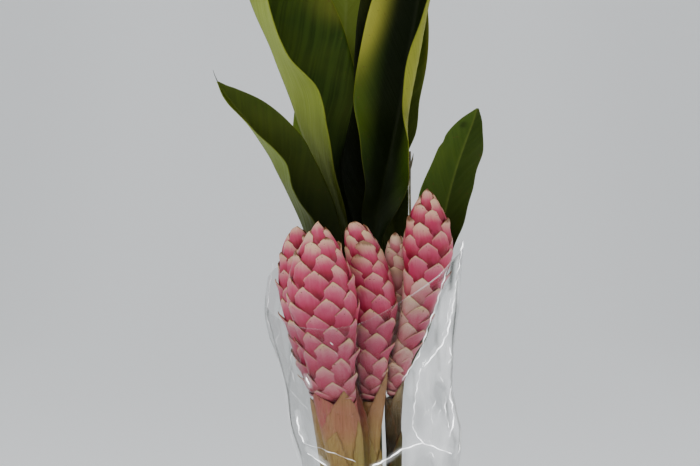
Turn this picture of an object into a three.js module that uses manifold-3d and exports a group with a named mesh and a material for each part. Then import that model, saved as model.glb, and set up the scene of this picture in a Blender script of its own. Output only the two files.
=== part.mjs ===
// A potted red ginger in a clear film sleeve: five pink cones on sheathed stalks, with large
// leaves fanned out behind them, standing in a plain pot of soil.
// Millimetres, +Z up, front towards -Y. The origin is the centre of the pot's base.

import * as THREE from 'three';
import { mergeVertices } from 'three/addons/utils/BufferGeometryUtils.js';
import Module from 'manifold-3d';

const wasm = await Module();
wasm.setup();

// Driving dimensions

const GAP = 0.3; // between a piece and what it stands in or on
const ROUND_SIDES = 48; // sides of the pot, the soil and the film
const STEM_SIDES = 10;
const STEM_LEVELS = 6;

const POT_HEIGHT = 140;
const POT_BASE_RADIUS = 52.5;
const POT_RIM_RADIUS = 75;
const POT_BAND = 18; // height of the band under the rim
const POT_SHOULDER_RADIUS = 70.8; // the body, just under the band
const POT_WALL = 1.8;
const POT_FLOOR = 3;
const DRAIN_HOLES = 6;
const DRAIN_RADIUS = 4.5;
const DRAIN_CIRCLE = 34;

const SOIL_TOP = 126;
const SOIL_CRUMB = 1.4; // how far its surface rises and falls
const STEM_DEPTH = 52; // how deep every stem stands in the soil
const STEM_FOOT = SOIL_TOP - STEM_DEPTH;
const STEM_COLLAR = SOIL_TOP + 4; // every stem is upright up to here

const BRACT_SPACING = 28; // from a bract's tip to the next one straight above it
const BRACT_SPACING_TOP = 20; // the same, near the cone's tip
const BRACT_GROWTH = 80; // the spacing widens over this much of the cone
const BRACT_DEPTH = 3.2; // from the bracts' surface down into the creases between them
const BRACT_FLARE = 2; // how far a bract's tip stands out
const BRACT_ROUND = 1.6; // how far its sides bulge up
const BRACT_SIDE_RISE = 0.9; // how far its sides stand out
const BRACT_MIDDLE_RISE = 1.4; // how far its middle stands out
const BRACT_MIDDLE = 0.4; // where its middle is, as a share of its length
const BRACT_END = 9; // height of the plain foot under the last bracts
const BUD_HEIGHT = 13; // height of the closed bud at a cone's tip
const BUD_BRACTS = 5;
const BUD_LENGTH = 24;
const BUD_WIDTH = 17;
const BUD_STEP = 1.9; // each of them starts this much lower
const GOLDEN_ANGLE = THREE.MathUtils.degToRad(137.508);

// Each cone: tip height, length, greatest radius, how far below the tip that is, base radius,
// bluntness of the tip, how early it narrows below, bracts round it (and a half), and its axis
// as rows of height, x, y
const CONES = {
  back_left: {
    tip: 464, length: 176, radius: 24, widest: 80, base: 14, blunt: 0.6, taper: -0.25, around: 5,
    axis: [[288, -47, 36], [330, -58, 39], [390, -69, 40.5], [430, -73, 34], [464, -75, 27]],
  },
  front_left: {
    tip: 469, length: 184, radius: 34.5, widest: 85, base: 19.5, blunt: 0.95, taper: 0.6, around: 7,
    axis: [
      [285, -35.5, -20], [309, -39, -20], [343, -43.4, -20], [380, -47.6, -20], [410, -51, -20],
      [469, -53, -19],
    ],
  },
  centre: {
    tip: 469, length: 181, radius: 22.5, widest: 90, base: 11, blunt: 0.45, taper: 0.3, around: 5,
    axis: [
      [288, 0, 10.5], [318, 0.5, 11], [340, 0.8, 12.5], [362, 2, 15], [390, 2, 17], [430, -6, 17],
      [469, -17, 17],
    ],
  },
  small_right: {
    tip: 458, length: 168, radius: 14, widest: 55, base: 7.5, blunt: 0.6, taper: -0.25, around: 4,
    axis: [[290, 23, 42], [330, 25, 45.5], [380, 28, 46.8], [458, 25, 45]],
  },
  tall_right: {
    tip: 502, length: 212, radius: 24.5, widest: 66, base: 7, blunt: 0.9, taper: 0.4, around: 5,
    axis: [
      [290, 22, 19], [309, 24.5, 20.5], [325, 29, 21], [345, 35.5, 21], [367, 42.5, 19],
      [388, 48, 17], [410, 53, 16], [430, 56, 16], [502, 56, 16],
    ],
  },
};

// Each flower stalk under its cone: rows of height, x, y, radius
const STALKS = {
  back_left: [[STEM_FOOT, -38, 18, 8], [STEM_COLLAR, -38, 18, 8], [200, -41, 26, 9], [287.7, -47, 36, 13.6]],
  front_left: [
    [STEM_FOOT, -16, -18, 9], [STEM_COLLAR, -16, -18, 9], [170, -18.5, -18.5, 11], [224, -24.5, -20, 15.2],
    [255, -30, -20, 18.4], [284.7, -35.5, -20, 19.3],
  ],
  centre: [
    [STEM_FOOT, 4, 6, 6.5], [STEM_COLLAR, 4, 6, 6.5], [224, 1.5, 9, 6.2], [250, 0.5, 10, 7],
    [287.7, 0, 10.5, 10.6],
  ],
  small_right: [[STEM_FOOT, 22, 24, 6], [STEM_COLLAR, 22, 24, 6], [220, 22, 33, 6], [289.7, 23, 42, 7.2]],
  tall_right: [[STEM_FOOT, 30, -4, 6], [STEM_COLLAR, 30, -4, 6], [224, 22, 10, 6], [289.7, 22, 19, 6.7]],
};

// Each leafy shoot: rows of height, x, y, radius
const SHOOTS = {
  left: [
    [STEM_FOOT, -16, 38, 7.5], [STEM_COLLAR, -16, 38, 7.5], [220, -18, 46, 7], [320, -21, 54, 6.5],
    [374, -21, 59, 5],
  ],
  centre: [
    [STEM_FOOT, 6, 46, 7.5], [STEM_COLLAR, 6, 46, 7.5], [220, 4, 53, 7], [320, 1, 59, 6.5],
    [430, 0, 65, 4.5],
  ],
  right: [
    [STEM_FOOT, 24, 44, 7.5], [STEM_COLLAR, 24, 44, 7.5], [220, 22, 49, 7], [290, 25, 58, 6.3],
    [310, 29, 62, 6], [390, 37, 70, 4.5],
  ],
};

const DRY_STEM = [
  [STEM_FOOT, 28, 10, 1.8], [STEM_COLLAR, 28, 10, 1.8], [220, 25, 21, 1.7], [260, 26, 26, 1.7],
  [290, 28, 30, 1.6], [310, 32, 33.5, 1.6], [340, 38.5, 38, 1.5], [370, 42, 42, 1.5],
  [400, 46, 43.5, 1.5], [440, 42, 43.5, 1.4], [480, 39.5, 50, 1.3], [541, 39.5, 56, 1.1],
];

// Each leaf hangs on a shoot. Its stations are rows of height, x and y of the midrib, half
// width, the direction that the upper side faces, and the fold of the left and right half
// from there, in degrees. curl, where there is one, is how much further the right half bends
// towards its margin, as rows of height and degrees.
const LEAVES = {
  far_left: {
    shoot: 'left', wave: 1.5,
    stations: [
      [330, -25, 55, 4, -40, 35, 35], [370, -37, 60, 13, -40, 48, 48], [420, -54, 63, 29, -40, 66, 52],
      [466, -71, 62, 38, -38, 58, 52], [500, -86.5, 60, 40, -38, 53, 52], [521, -97, 58, 40, -38, 63, 51],
      [537, -105, 56, 39, -38, 57, 50], [571, -128, 51, 29, -40, 47, 42], [600, -151, 46, 11, -40, 44, 34],
      [612, -157.5, 45, 1, -40, 42, 30],
    ],
  },
  big_left: {
    shoot: 'centre', wave: 2.5,
    stations: [
      [392, -3, 66, 4, -40, 40, 40], [425, -15, 75, 12, -40, 50, 50], [465, -32, 81, 27, -38, 52, 52],
      [510, -49, 84, 48, -38, 60, 52], [560, -71, 85, 66, -38, 65, 52], [590, -81, 85, 71, -38, 62, 51],
      [606, -87, 85, 74, -38, 57, 50], [630, -96.5, 84.5, 77, -38, 51, 50], [652, -105, 84, 78, -38, 50, 50],
      [690, -122, 82, 76, -38, 56, 50], [750, -143, 78, 58, -38, 54, 50],
      [805, -157, 74, 24, -38, 45, 45], [835, -162, 72, 1, -38, 30, 30],
    ],
  },
  back_pale: {
    shoot: 'left', wave: 1.5,
    stations: [
      [368, -21, 61, 4, 90, 10, 10], [430, -25, 88, 9, 90, 12, 12], [500, -30, 98, 24, 90, 12, 12],
      [570, -30, 103, 34, 90, 12, 12], [640, -28, 107, 36, 90, 12, 12], [700, -26, 110, 30, 90, 12, 12],
      [760, -24, 112, 15, 90, 10, 10], [795, -22, 112, 1, 90, 5, 5],
    ],
  },
  back_dark: {
    shoot: 'centre', wave: 1.5,
    stations: [
      [424, 0, 65, 4, -90, 10, 10], [470, -4, 71, 16, -90, 12, 12], [518, -2, 75, 31, -90, 12, 12],
      [547, 4, 77, 32, -90, 12, 12], [587, 9, 78, 29, -90, 12, 12], [640, 13, 79, 31, -90, 12, 12],
      [690, 17, 80, 30, -90, 12, 12], [755, 20, 80, 20, -90, 10, 10], [800, 21, 79, 1, -90, 5, 5],
    ],
  },
  big_centre: {
    shoot: 'centre', wave: 2,
    curl: [[404, 60], [531, 60], [556, 50], [594, 85], [645, 105], [690, 60], [760, 50], [843, 50]],
    stations: [
      [404, -1, 58, 4, -90, 20, 0], [440, 1, 60, 9, -90, 20, 0], [470, 5, 63, 16, -88, 15, 5],
      [500, 10, 65, 25, -80, 38, -12], [531, 17.5, 66, 34, -92, 38, 20], [556, 23, 67, 43, -98, 38, 36],
      [594, 31, 67, 50, -103, 15, 35], [645, 39, 66, 50, -103, 15, 26], [690, 47, 65, 47, -103, 15, 35],
      [760, 58, 64, 33, -100, 15, 20], [815, 64, 62, 13, -95, 12, 0], [843, 66, 61, 1, -95, 10, 0],
    ],
  },
  back_right: {
    shoot: 'right', wave: 2,
    stations: [
      [384, 37, 70, 4, -90, 10, 10], [430, 27, 80, 10, -88, 12, 12], [480, 22, 87, 17, -88, 12, 12],
      [543, 20, 90, 20, -88, 12, 12], [568, 24, 91, 24, -88, 12, 12], [598, 27, 91, 24, -88, 12, 12],
      [645, 33, 91, 27, -88, 12, 12], [690, 36, 90, 24, -88, 12, 12], [750, 40, 88, 13, -88, 10, 10],
      [785, 42, 87, 1, -88, 5, 5],
    ],
  },
  right: {
    shoot: 'right', wave: 1.5,
    stations: [
      [312, 34, 61, 4, -90, 20, 20], [332, 41.5, 60, 5.2, -91, 21, 25], [350, 50, 58, 7, -92, 22, 30],
      [400, 61, 58, 12, -95, 24, 40], [430, 66, 57, 19, -97, 25, 44], [450, 69, 56, 25, -97, 25, 45],
      [483, 76.6, 54, 31, -97, 25, 42], [506, 82.3, 53, 30, -97, 25, 38], [526, 88, 52, 27, -97, 25, 37],
      [548, 95.7, 52, 24, -97, 25, 37], [570, 104, 52, 13, -97, 22, 34], [585, 109, 52, 1, -97, 15, 20],
    ],
  },
  rear_left: {
    shoot: 'left', wave: 2,
    stations: [
      [296, -20, 54, 3, 118, 10, 10], [330, -27, 66, 6, 118, 12, 12], [372, -36, 74, 8, 118, 12, 12],
      [400, -40, 76, 7, 118, 14, 14], [430, -44, 80, 8, 115, 16, 16], [462, -52, 94, 14, 115, 16, 16],
      [520, -58, 112, 25, 112, 16, 16], [590, -57, 130, 24, 110, 16, 16], [650, -57, 143, 15, 110, 14, 14],
      [690, -58, 150, 1, 110, 5, 5],
    ],
  },
  rear_right: {
    shoot: 'centre', wave: 2,
    stations: [
      [404, 3, 66, 4, 80, 10, 10], [435, 13, 84, 9, 80, 12, 12], [480, 14, 101, 18, 80, 14, 14],
      [540, 14, 118, 25, 78, 16, 16], [600, 15, 132, 24, 75, 16, 16], [650, 16, 142, 12, 75, 14, 14],
      [680, 16, 147, 1, 75, 5, 5],
    ],
  },
};
const LEAF_STATIONS = 13;
const LEAF_COLUMNS = 3; // on each side of the midrib
const LEAF_MARGIN_THICKNESS = 0.8;
const LEAF_RIB_THICKNESS = 2.2;
const LEAF_WAVES = 3; // ripples along each margin

// The film: rows of height, centre x and y, half width and half depth
const FILM = [
  [2, 0, 0, 56, 56], [118, 0, 0, 75.95, 75.95], [146, 0, 0, 76.1, 76.1], [180, 3, 1, 77, 77],
  [225, 8, 3, 78, 80], [262, 4, 5, 86, 84],
  [309, -3, 6, 85, 87], [375, -11, 6, 96, 92], [450, -4, 6, 97, 95],
];
const FILM_THICKNESS = 0.6;
const FILM_LOWER_LEVELS = [2, 118, 146]; // straight past the pot's band
const FILM_UPPER_LEVELS = 7; // from there up to its edge
const FILM_WRINKLE = 2.4;
const FILM_WRINKLE_START = 150; // the film lies smooth on the pot below this
// The film's upper edge: rows of direction in degrees and height, once round
const FILM_EDGE = [
  [-180, 398], [-150, 374], [-120, 365], [-95, 369], [-72, 386], [-26, 433], [0, 450],
  [40, 444], [90, 436], [130, 432], [160, 420], [180, 398],
];

const PLASTIC = new THREE.MeshStandardMaterial({ color: '#26282a', roughness: 0.55, metalness: 0 });
const EARTH = new THREE.MeshStandardMaterial({ color: '#2e2119', roughness: 0.95, metalness: 0 });
const PINK = new THREE.MeshStandardMaterial({ color: '#c9647c', roughness: 0.5, metalness: 0 });
const SHEATH = new THREE.MeshStandardMaterial({ color: '#a89a55', roughness: 0.6, metalness: 0 });
const DARK_SHEATH = new THREE.MeshStandardMaterial({ color: '#4a4630', roughness: 0.7, metalness: 0 });
const LEAF_GREEN = new THREE.MeshStandardMaterial({ color: '#2c4413', roughness: 0.4, metalness: 0 });
const SHOOT_GREEN = new THREE.MeshStandardMaterial({ color: '#5d7033', roughness: 0.55, metalness: 0 });
const DRY_BROWN = new THREE.MeshStandardMaterial({ color: '#77705f', roughness: 0.8, metalness: 0 });
const CLEAR = new THREE.MeshStandardMaterial({
  color: '#e6e8ea', roughness: 0.1, metalness: 0, transparent: true, opacity: 0.25,
});

// Curves and solids

// A smooth function through rows of numbers: the first number of a row is where it holds
function smooth(rows) {
  const slope = (i, k) => {
    const before = rows[Math.max(i - 1, 0)];
    const after = rows[Math.min(i + 1, rows.length - 1)];
    return (after[k] - before[k]) / (after[0] - before[0]);
  };
  return (at) => {
    let i = 0;
    while (i < rows.length - 2 && at > rows[i + 1][0]) i += 1;
    const span = rows[i + 1][0] - rows[i][0];
    const s = THREE.MathUtils.clamp((at - rows[i][0]) / span, 0, 1);
    const late = s * s * (3 - 2 * s);
    const leave = s * (1 - s) * (1 - s) * span;
    const arrive = s * s * (s - 1) * span;
    return rows[i].slice(1).map((value, k) => {
      const next = rows[i + 1][k + 1];
      return value + (next - value) * late + slope(i, k + 1) * leave + slope(i + 1, k + 1) * arrive;
    });
  };
}

function steps(from, to, count) {
  return Array.from({ length: count + 1 }, (_, i) => from + ((to - from) * i) / count);
}

function geometryFrom(points, triangles) {
  const geometry = new THREE.BufferGeometry();
  geometry.setAttribute('position', new THREE.Float32BufferAttribute(points.flatMap((p) => p.toArray()), 3));
  geometry.setIndex(triangles);
  geometry.computeVertexNormals();
  return geometry;
}

function solidOf(geometry) {
  const bare = geometry.clone();
  bare.deleteAttribute('normal');
  bare.deleteAttribute('uv');
  const merged = mergeVertices(bare);
  const triangles = [];
  for (let i = 0; i < merged.index.count; i += 3) {
    const corners = [0, 1, 2].map((k) => merged.index.getX(i + k));
    if (new Set(corners).size === 3) triangles.push(...corners);
  }
  return new wasm.Manifold(new wasm.Mesh({
    numProp: 3,
    vertProperties: new Float32Array(merged.attributes.position.array),
    triVerts: new Uint32Array(triangles),
  }));
}

function geometryOf(solid) {
  const mesh = solid.getMesh();
  const geometry = new THREE.BufferGeometry();
  geometry.setAttribute('position', new THREE.BufferAttribute(new Float32Array(mesh.vertProperties), 3));
  geometry.setIndex(new THREE.BufferAttribute(new Uint32Array(mesh.triVerts), 1));
  geometry.computeVertexNormals();
  return geometry;
}

function largestPiece(solid) {
  return solid.decompose().sort((a, b) => b.volume() - a.volume())[0];
}

// A closed loft of horizontal rings, each with the same number of points
function loft(rings) {
  const sides = rings[0].length;
  const points = rings.flat();
  const triangles = [];
  for (let i = 0; i < rings.length - 1; i += 1) {
    for (let j = 0; j < sides; j += 1) {
      const a = i * sides + j;
      const b = i * sides + ((j + 1) % sides);
      triangles.push(a, b, b + sides, a, b + sides, a + sides);
    }
  }
  const centreOf = (ring) => ring.reduce((sum, p) => sum.add(p), new THREE.Vector3()).divideScalar(sides);
  const foot = points.push(centreOf(rings[0])) - 1;
  const head = points.push(centreOf(rings.at(-1))) - 1;
  const last = (rings.length - 1) * sides;
  for (let j = 0; j < sides; j += 1) {
    const next = (j + 1) % sides;
    triangles.push(foot, next, j, head, last + j, last + next);
  }
  return geometryFrom(points, triangles);
}

function ringAt(x, y, z, radiusX, radiusY, sides) {
  return steps(0, 2 * Math.PI, sides).slice(0, -1).map((angle) => (
    new THREE.Vector3(x + radiusX * Math.cos(angle), y + radiusY * Math.sin(angle), z)
  ));
}

// An upright stem from rows of height, x, y, radius, made fatter by extra
function stem(rows, extra = 0) {
  const at = smooth(rows);
  const heights = [rows[0][0], ...steps(rows[1][0], rows.at(-1)[0], STEM_LEVELS)];
  return loft(heights.map((z, i) => {
    const [x, y, radius] = at(z);
    const level = i === heights.length - 1 ? z + extra : z;
    return ringAt(x, y, level, radius + extra, radius + extra, STEM_SIDES);
  }));
}

// Pot and soil

function turned(profile) {
  const outline = profile.map(([radius, z]) => new THREE.Vector2(radius, z));
  return new THREE.LatheGeometry(outline, ROUND_SIDES).rotateX(Math.PI / 2);
}

function upright(radius, bottom, top, x, y, sides) {
  const ring = (z) => ringAt(x, y, z, radius, radius, sides);
  return solidOf(loft([ring(bottom), ring(top)]));
}

function potGeometry() {
  const bandFoot = POT_HEIGHT - POT_BAND;
  const inner = POT_SHOULDER_RADIUS - POT_WALL;
  const body = turned([
    [0, 0], [POT_BASE_RADIUS - 2, 0], [POT_BASE_RADIUS, 2], [POT_SHOULDER_RADIUS, bandFoot],
    [POT_RIM_RADIUS, bandFoot], [POT_RIM_RADIUS, POT_HEIGHT],
    [POT_RIM_RADIUS - POT_WALL, POT_HEIGHT],
    [POT_RIM_RADIUS - POT_WALL, bandFoot + POT_WALL], [inner, bandFoot],
    [POT_BASE_RADIUS - POT_WALL, POT_FLOOR], [0, POT_FLOOR],
  ]);
  let pot = solidOf(body);
  for (const turn of steps(0, 2 * Math.PI, DRAIN_HOLES).slice(0, -1)) {
    const x = DRAIN_CIRCLE * Math.cos(turn);
    const y = DRAIN_CIRCLE * Math.sin(turn);
    pot = pot.subtract(upright(DRAIN_RADIUS, -1, POT_FLOOR + 1, x, y, 10));
  }
  return geometryOf(pot);
}

function soilGeometry() {
  const bandFoot = POT_HEIGHT - POT_BAND;
  const sideRadius = POT_SHOULDER_RADIUS - POT_WALL - GAP;
  const footRadius = POT_BASE_RADIUS - POT_WALL - GAP;
  const geometry = turned([
    [0, POT_FLOOR + GAP], [footRadius, POT_FLOOR + GAP], [sideRadius, bandFoot],
    [sideRadius, SOIL_TOP - SOIL_CRUMB], [sideRadius - 9, SOIL_TOP], [sideRadius - 26, SOIL_TOP],
    [sideRadius - 46, SOIL_TOP], [0, SOIL_TOP],
  ]);
  const place = geometry.attributes.position;
  for (let i = 0; i < place.count; i += 1) {
    const [x, y, z] = [place.getX(i), place.getY(i), place.getZ(i)];
    const rise = SOIL_CRUMB * Math.sin(x * 0.31 + 1.3) * Math.cos(y * 0.27);
    if (z > SOIL_TOP - 0.5) place.setZ(i, z + rise);
  }
  let soil = solidOf(geometry);
  for (const rows of [...Object.values(STALKS), ...Object.values(SHOOTS), DRY_STEM]) {
    const [, x, y, radius] = rows[0];
    soil = soil.subtract(upright(radius + GAP, STEM_FOOT - GAP, SOIL_TOP + 9, x, y, STEM_SIDES));
  }
  return geometryOf(soil);
}

// Cones

function coneRadius(cone, z) {
  const down = cone.tip - z;
  if (down < cone.widest) {
    return cone.radius * (1 - (1 - Math.max(down, 0) / cone.widest) ** 2) ** cone.blunt;
  }
  const s = (down - cone.widest) / (cone.length - cone.widest);
  return cone.radius + (cone.base - cone.radius) * (s + cone.taper * s * (1 - s));
}

// A point on a cone: height, direction, and how far out of the cone's surface
function onCone(cone, axis, z, angle, out) {
  const [x, y] = axis(z);
  const reach = Math.max(coneRadius(cone, z) + out, 0.5);
  return new THREE.Vector3(x + reach * Math.cos(angle), y + reach * Math.sin(angle), z);
}

// The bracts stand in a spiral, so that each one lies between the tips of the two below it.
// A bract is a raised shield on a diamond of the spiral: its tip stands out, and its lower
// corners are tucked in behind the tips of the bracts under it.
function bractsGeometry(cone, axis) {
  const foot = cone.tip - cone.length;
  const left = cone.around; // steps along the spiral to the diamond's left corner
  const right = left + 1;
  const below = left + right;
  const turn = (2 * Math.PI) / (left + 0.5);
  const heights = [];
  let down = BUD_HEIGHT;
  while (down < cone.length - BRACT_END) {
    heights.push(cone.tip - down);
    const grown = Math.min(down / BRACT_GROWTH, 1);
    down += (BRACT_SPACING_TOP + (BRACT_SPACING - BRACT_SPACING_TOP) * grown) / below;
  }
  const bracts = heights.length;
  for (let k = 0; k < below; k += 1) heights.push(foot);

  const points = heights.map((z, k) => onCone(cone, axis, z, k * turn, z === foot ? 0 : -BRACT_DEPTH));
  const triangles = [];
  const spacingAt = (i) => heights[i] - heights[i + below];
  for (let i = 0; i < bracts; i += 1) {
    const z = heights[i];
    const angle = i * turn;
    const shoulder = (side, at) => {
      const level = (z + heights[at]) / 2 + BRACT_ROUND;
      return points.push(onCone(cone, axis, level, angle + (side * turn) / 4, BRACT_SIDE_RISE)) - 1;
    };
    const tip = points.push(onCone(cone, axis, z, angle, BRACT_FLARE)) - 1;
    const centre = onCone(cone, axis, z - spacingAt(i) * BRACT_MIDDLE, angle, BRACT_MIDDLE_RISE);
    const middle = points.push(centre) - 1;
    const leftShoulder = shoulder(-1, i + left);
    const rightShoulder = shoulder(1, i + right);
    const outline = [tip, leftShoulder, i + left, i + below, i + right, rightShoulder];
    outline.forEach((corner, k) => triangles.push(middle, corner, outline[(k + 1) % outline.length]));
    triangles.push(tip, i, leftShoulder, leftShoulder, i, i + left);
    triangles.push(tip, rightShoulder, i, rightShoulder, i + right, i);
  }
  const head = points.push(onCone(cone, axis, cone.tip - 3, 0, -cone.radius)) - 1;
  const [x, y] = axis(foot);
  const base = points.push(new THREE.Vector3(x, y, foot)) - 1;
  for (let i = 0; i < right; i += 1) triangles.push(head, i + left, i);
  for (let i = 0; i < left; i += 1) triangles.push(head, i, i + right);
  for (let i = bracts - right; i < bracts; i += 1) {
    if (i + left >= bracts) triangles.push(base, i + below, i + left);
    triangles.push(base, i + right, i + below);
  }
  return geometryFrom(points, triangles);
}

// One of the bracts that close the bud at the cone's tip, its back sunk in the cone
function budBract(cone, axis, tipHeight, angle) {
  const place = (below, sideways, out) => {
    const z = tipHeight - below;
    const swing = Math.min(BUD_WIDTH / 2 / Math.max(coneRadius(cone, z), 1), 1.1);
    return onCone(cone, axis, z, angle + sideways * swing, out);
  };
  const points = [
    place(BUD_LENGTH, 0, -3), place(BUD_LENGTH * 0.5, 1, -0.5), place(0, 0, 1.2),
    place(BUD_LENGTH * 0.5, -1, -0.5), place(BUD_LENGTH * 0.35, 0, 2.2), place(BUD_LENGTH * 0.7, 0, -12),
  ];
  const [middle, back] = [4, 5];
  const triangles = [];
  for (let i = 0; i < 4; i += 1) {
    const next = (i + 1) % 4;
    triangles.push(middle, i, next, back, next, i);
  }
  return geometryFrom(points, triangles);
}

function coneGeometry(cone) {
  const axis = smooth(cone.axis);
  const bud = steps(0, BUD_BRACTS - 1, BUD_BRACTS - 1).map((i) => (
    solidOf(budBract(cone, axis, cone.tip - i * BUD_STEP, i * GOLDEN_ANGLE - Math.PI / 2))
  ));
  const whole = wasm.Manifold.union([solidOf(bractsGeometry(cone, axis)), ...bud]);
  return geometryOf(largestPiece(whole.simplify(0.05)));
}

// Leaves

function leafGeometry(leaf) {
  const at = smooth(leaf.stations);
  const curl = leaf.curl ? smooth(leaf.curl) : () => [0];
  const [first, last] = [leaf.stations[0][0], leaf.stations.at(-1)[0]];
  const upper = [];
  const lower = [];
  for (const z of steps(first, last, LEAF_STATIONS)) {
    const t = (z - first) / (last - first);
    const [x, y, width, facing, foldLeft, foldRight] = at(z);
    const [xAhead, yAhead] = at(Math.min(z + 1, last));
    const [xBehind, yBehind] = at(Math.max(z - 1, first));
    const along = new THREE.Vector3(xAhead - xBehind, yAhead - yBehind, 2).normalize();
    const turn = THREE.MathUtils.degToRad(facing);
    const face = new THREE.Vector3(Math.cos(turn), Math.sin(turn), 0);
    face.addScaledVector(along, -face.dot(along)).normalize();
    const side = new THREE.Vector3().crossVectors(along, face);
    for (let j = -LEAF_COLUMNS; j <= LEAF_COLUMNS; j += 1) {
      const hand = Math.sign(j);
      const share = Math.abs(j) / LEAF_COLUMNS;
      const fold = THREE.MathUtils.degToRad(hand < 0 ? foldLeft : foldRight);
      const bend = THREE.MathUtils.degToRad(hand > 0 ? curl(z)[0] : 0);
      const slant = fold + bend * share;
      const out = new THREE.Vector3(x, y, z);
      if (hand !== 0) {
        const across = bend ? (Math.sin(slant) - Math.sin(fold)) / bend : share * Math.cos(fold);
        const up = bend ? (Math.cos(fold) - Math.cos(slant)) / bend : share * Math.sin(fold);
        out.addScaledVector(side, hand * width * across).addScaledVector(face, width * up);
      }
      const normal = face.clone();
      if (hand !== 0) normal.multiplyScalar(Math.cos(slant)).addScaledVector(side, -hand * Math.sin(slant));
      const ripple = Math.sin(2 * Math.PI * LEAF_WAVES * t + hand) * share * share * Math.min(width / 20, 1);
      out.addScaledVector(normal, leaf.wave * ripple);
      const rib = LEAF_RIB_THICKNESS * (1 - 0.5 * t);
      const thickness = hand === 0 ? rib : LEAF_MARGIN_THICKNESS;
      upper.push(out);
      lower.push(out.clone().addScaledVector(normal, -thickness));
    }
  }
  return bladeGeometry(upper, lower, 2 * LEAF_COLUMNS + 1, LEAF_STATIONS + 1);
}

// A closed sheet from its upper and lower points, in rows of the same length
function bladeGeometry(upper, lower, columns, rows) {
  const triangles = [];
  const under = upper.length;
  const quad = (a, b, c, d) => triangles.push(a, b, c, a, c, d);
  for (let i = 0; i < rows - 1; i += 1) {
    for (let j = 0; j < columns - 1; j += 1) {
      const a = i * columns + j;
      const c = a + columns + 1;
      quad(a, a + 1, c, a + columns);
      triangles.push(under + a, under + c, under + a + 1, under + a, under + a + columns, under + c);
    }
    const left = i * columns;
    const right = left + columns - 1;
    quad(left, left + columns, under + left + columns, under + left);
    quad(right, under + right, under + right + columns, right + columns);
  }
  const top = (rows - 1) * columns;
  for (let j = 0; j < columns - 1; j += 1) {
    quad(j, under + j, under + j + 1, j + 1);
    quad(top + j, top + j + 1, under + top + j + 1, under + top + j);
  }
  return geometryFrom([...upper, ...lower], triangles);
}

// Film sleeve

function filmGeometry() {
  const section = smooth(FILM);
  const edge = smooth(FILM_EDGE);
  const shoulder = FILM_LOWER_LEVELS.at(-1);
  const levels = FILM_LOWER_LEVELS.length - 1 + FILM_UPPER_LEVELS;
  const wall = (inset) => steps(0, levels, levels).map((level) => (
    steps(-180, 180, ROUND_SIDES).slice(0, -1).map((direction) => {
      const [rim] = edge(direction);
      const rise = (level - FILM_LOWER_LEVELS.length + 1) / FILM_UPPER_LEVELS;
      const z = FILM_LOWER_LEVELS[level] ?? shoulder + (rim - shoulder) * rise;
      const [x, y, halfWidth, halfDepth] = section(z);
      const turn = THREE.MathUtils.degToRad(direction);
      const loose = THREE.MathUtils.clamp((z - FILM_WRINKLE_START) / 90, 0, 1);
      const wrinkle = FILM_WRINKLE * loose * Math.sin(7 * turn + z / 60) * Math.cos(3 * turn - z / 45);
      return new THREE.Vector3(
        x + (halfWidth + wrinkle - inset) * Math.cos(turn),
        y + (halfDepth + wrinkle - inset) * Math.sin(turn),
        z,
      );
    })
  ));
  const outer = wall(0);
  const inner = wall(FILM_THICKNESS);
  const points = [...outer.flat(), ...inner.flat()];
  const within = outer.length * ROUND_SIDES;
  const triangles = [];
  const quad = (a, b, c, d) => triangles.push(a, b, c, a, c, d);
  for (let j = 0; j < ROUND_SIDES; j += 1) {
    const next = (j + 1) % ROUND_SIDES;
    for (let i = 0; i < levels; i += 1) {
      const a = i * ROUND_SIDES + j;
      const b = i * ROUND_SIDES + next;
      const [c, d] = [b + ROUND_SIDES, a + ROUND_SIDES];
      quad(a, b, c, d);
      triangles.push(within + a, within + c, within + b, within + a, within + d, within + c);
    }
    const top = levels * ROUND_SIDES;
    quad(j, within + j, within + next, next);
    quad(top + j, top + next, within + top + next, within + top + j);
  }
  return geometryFrom(points, triangles);
}

// Assembly

const plant = new THREE.Group();

function add(name, geometry, material) {
  const mesh = new THREE.Mesh(geometry, material.clone());
  mesh.name = name;
  plant.add(mesh);
}

add('pot', potGeometry(), PLASTIC);
add('soil', soilGeometry(), EARTH);
for (const [name, rows] of Object.entries(STALKS)) {
  const dark = name === 'small_right' || name === 'tall_right';
  add(`stalk_${name}`, stem(rows), dark ? DARK_SHEATH : SHEATH);
}
for (const [name, cone] of Object.entries(CONES)) {
  add(`cone_${name}`, coneGeometry(cone), PINK);
}
for (const [name, rows] of Object.entries(SHOOTS)) {
  add(`shoot_${name}`, stem(rows), SHOOT_GREEN);
}
for (const [name, leaf] of Object.entries(LEAVES)) {
  const shoot = solidOf(stem(SHOOTS[leaf.shoot], GAP));
  const blade = solidOf(leafGeometry(leaf)).subtract(shoot);
  add(`leaf_${name}`, geometryOf(largestPiece(blade)), LEAF_GREEN);
}
add('dry_stem', stem(DRY_STEM), DRY_BROWN);
add('film_sleeve', filmGeometry(), CLEAR);

export default plant;
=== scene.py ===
import math
import random

import bpy
import numpy as np
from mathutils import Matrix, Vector, noise


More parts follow.
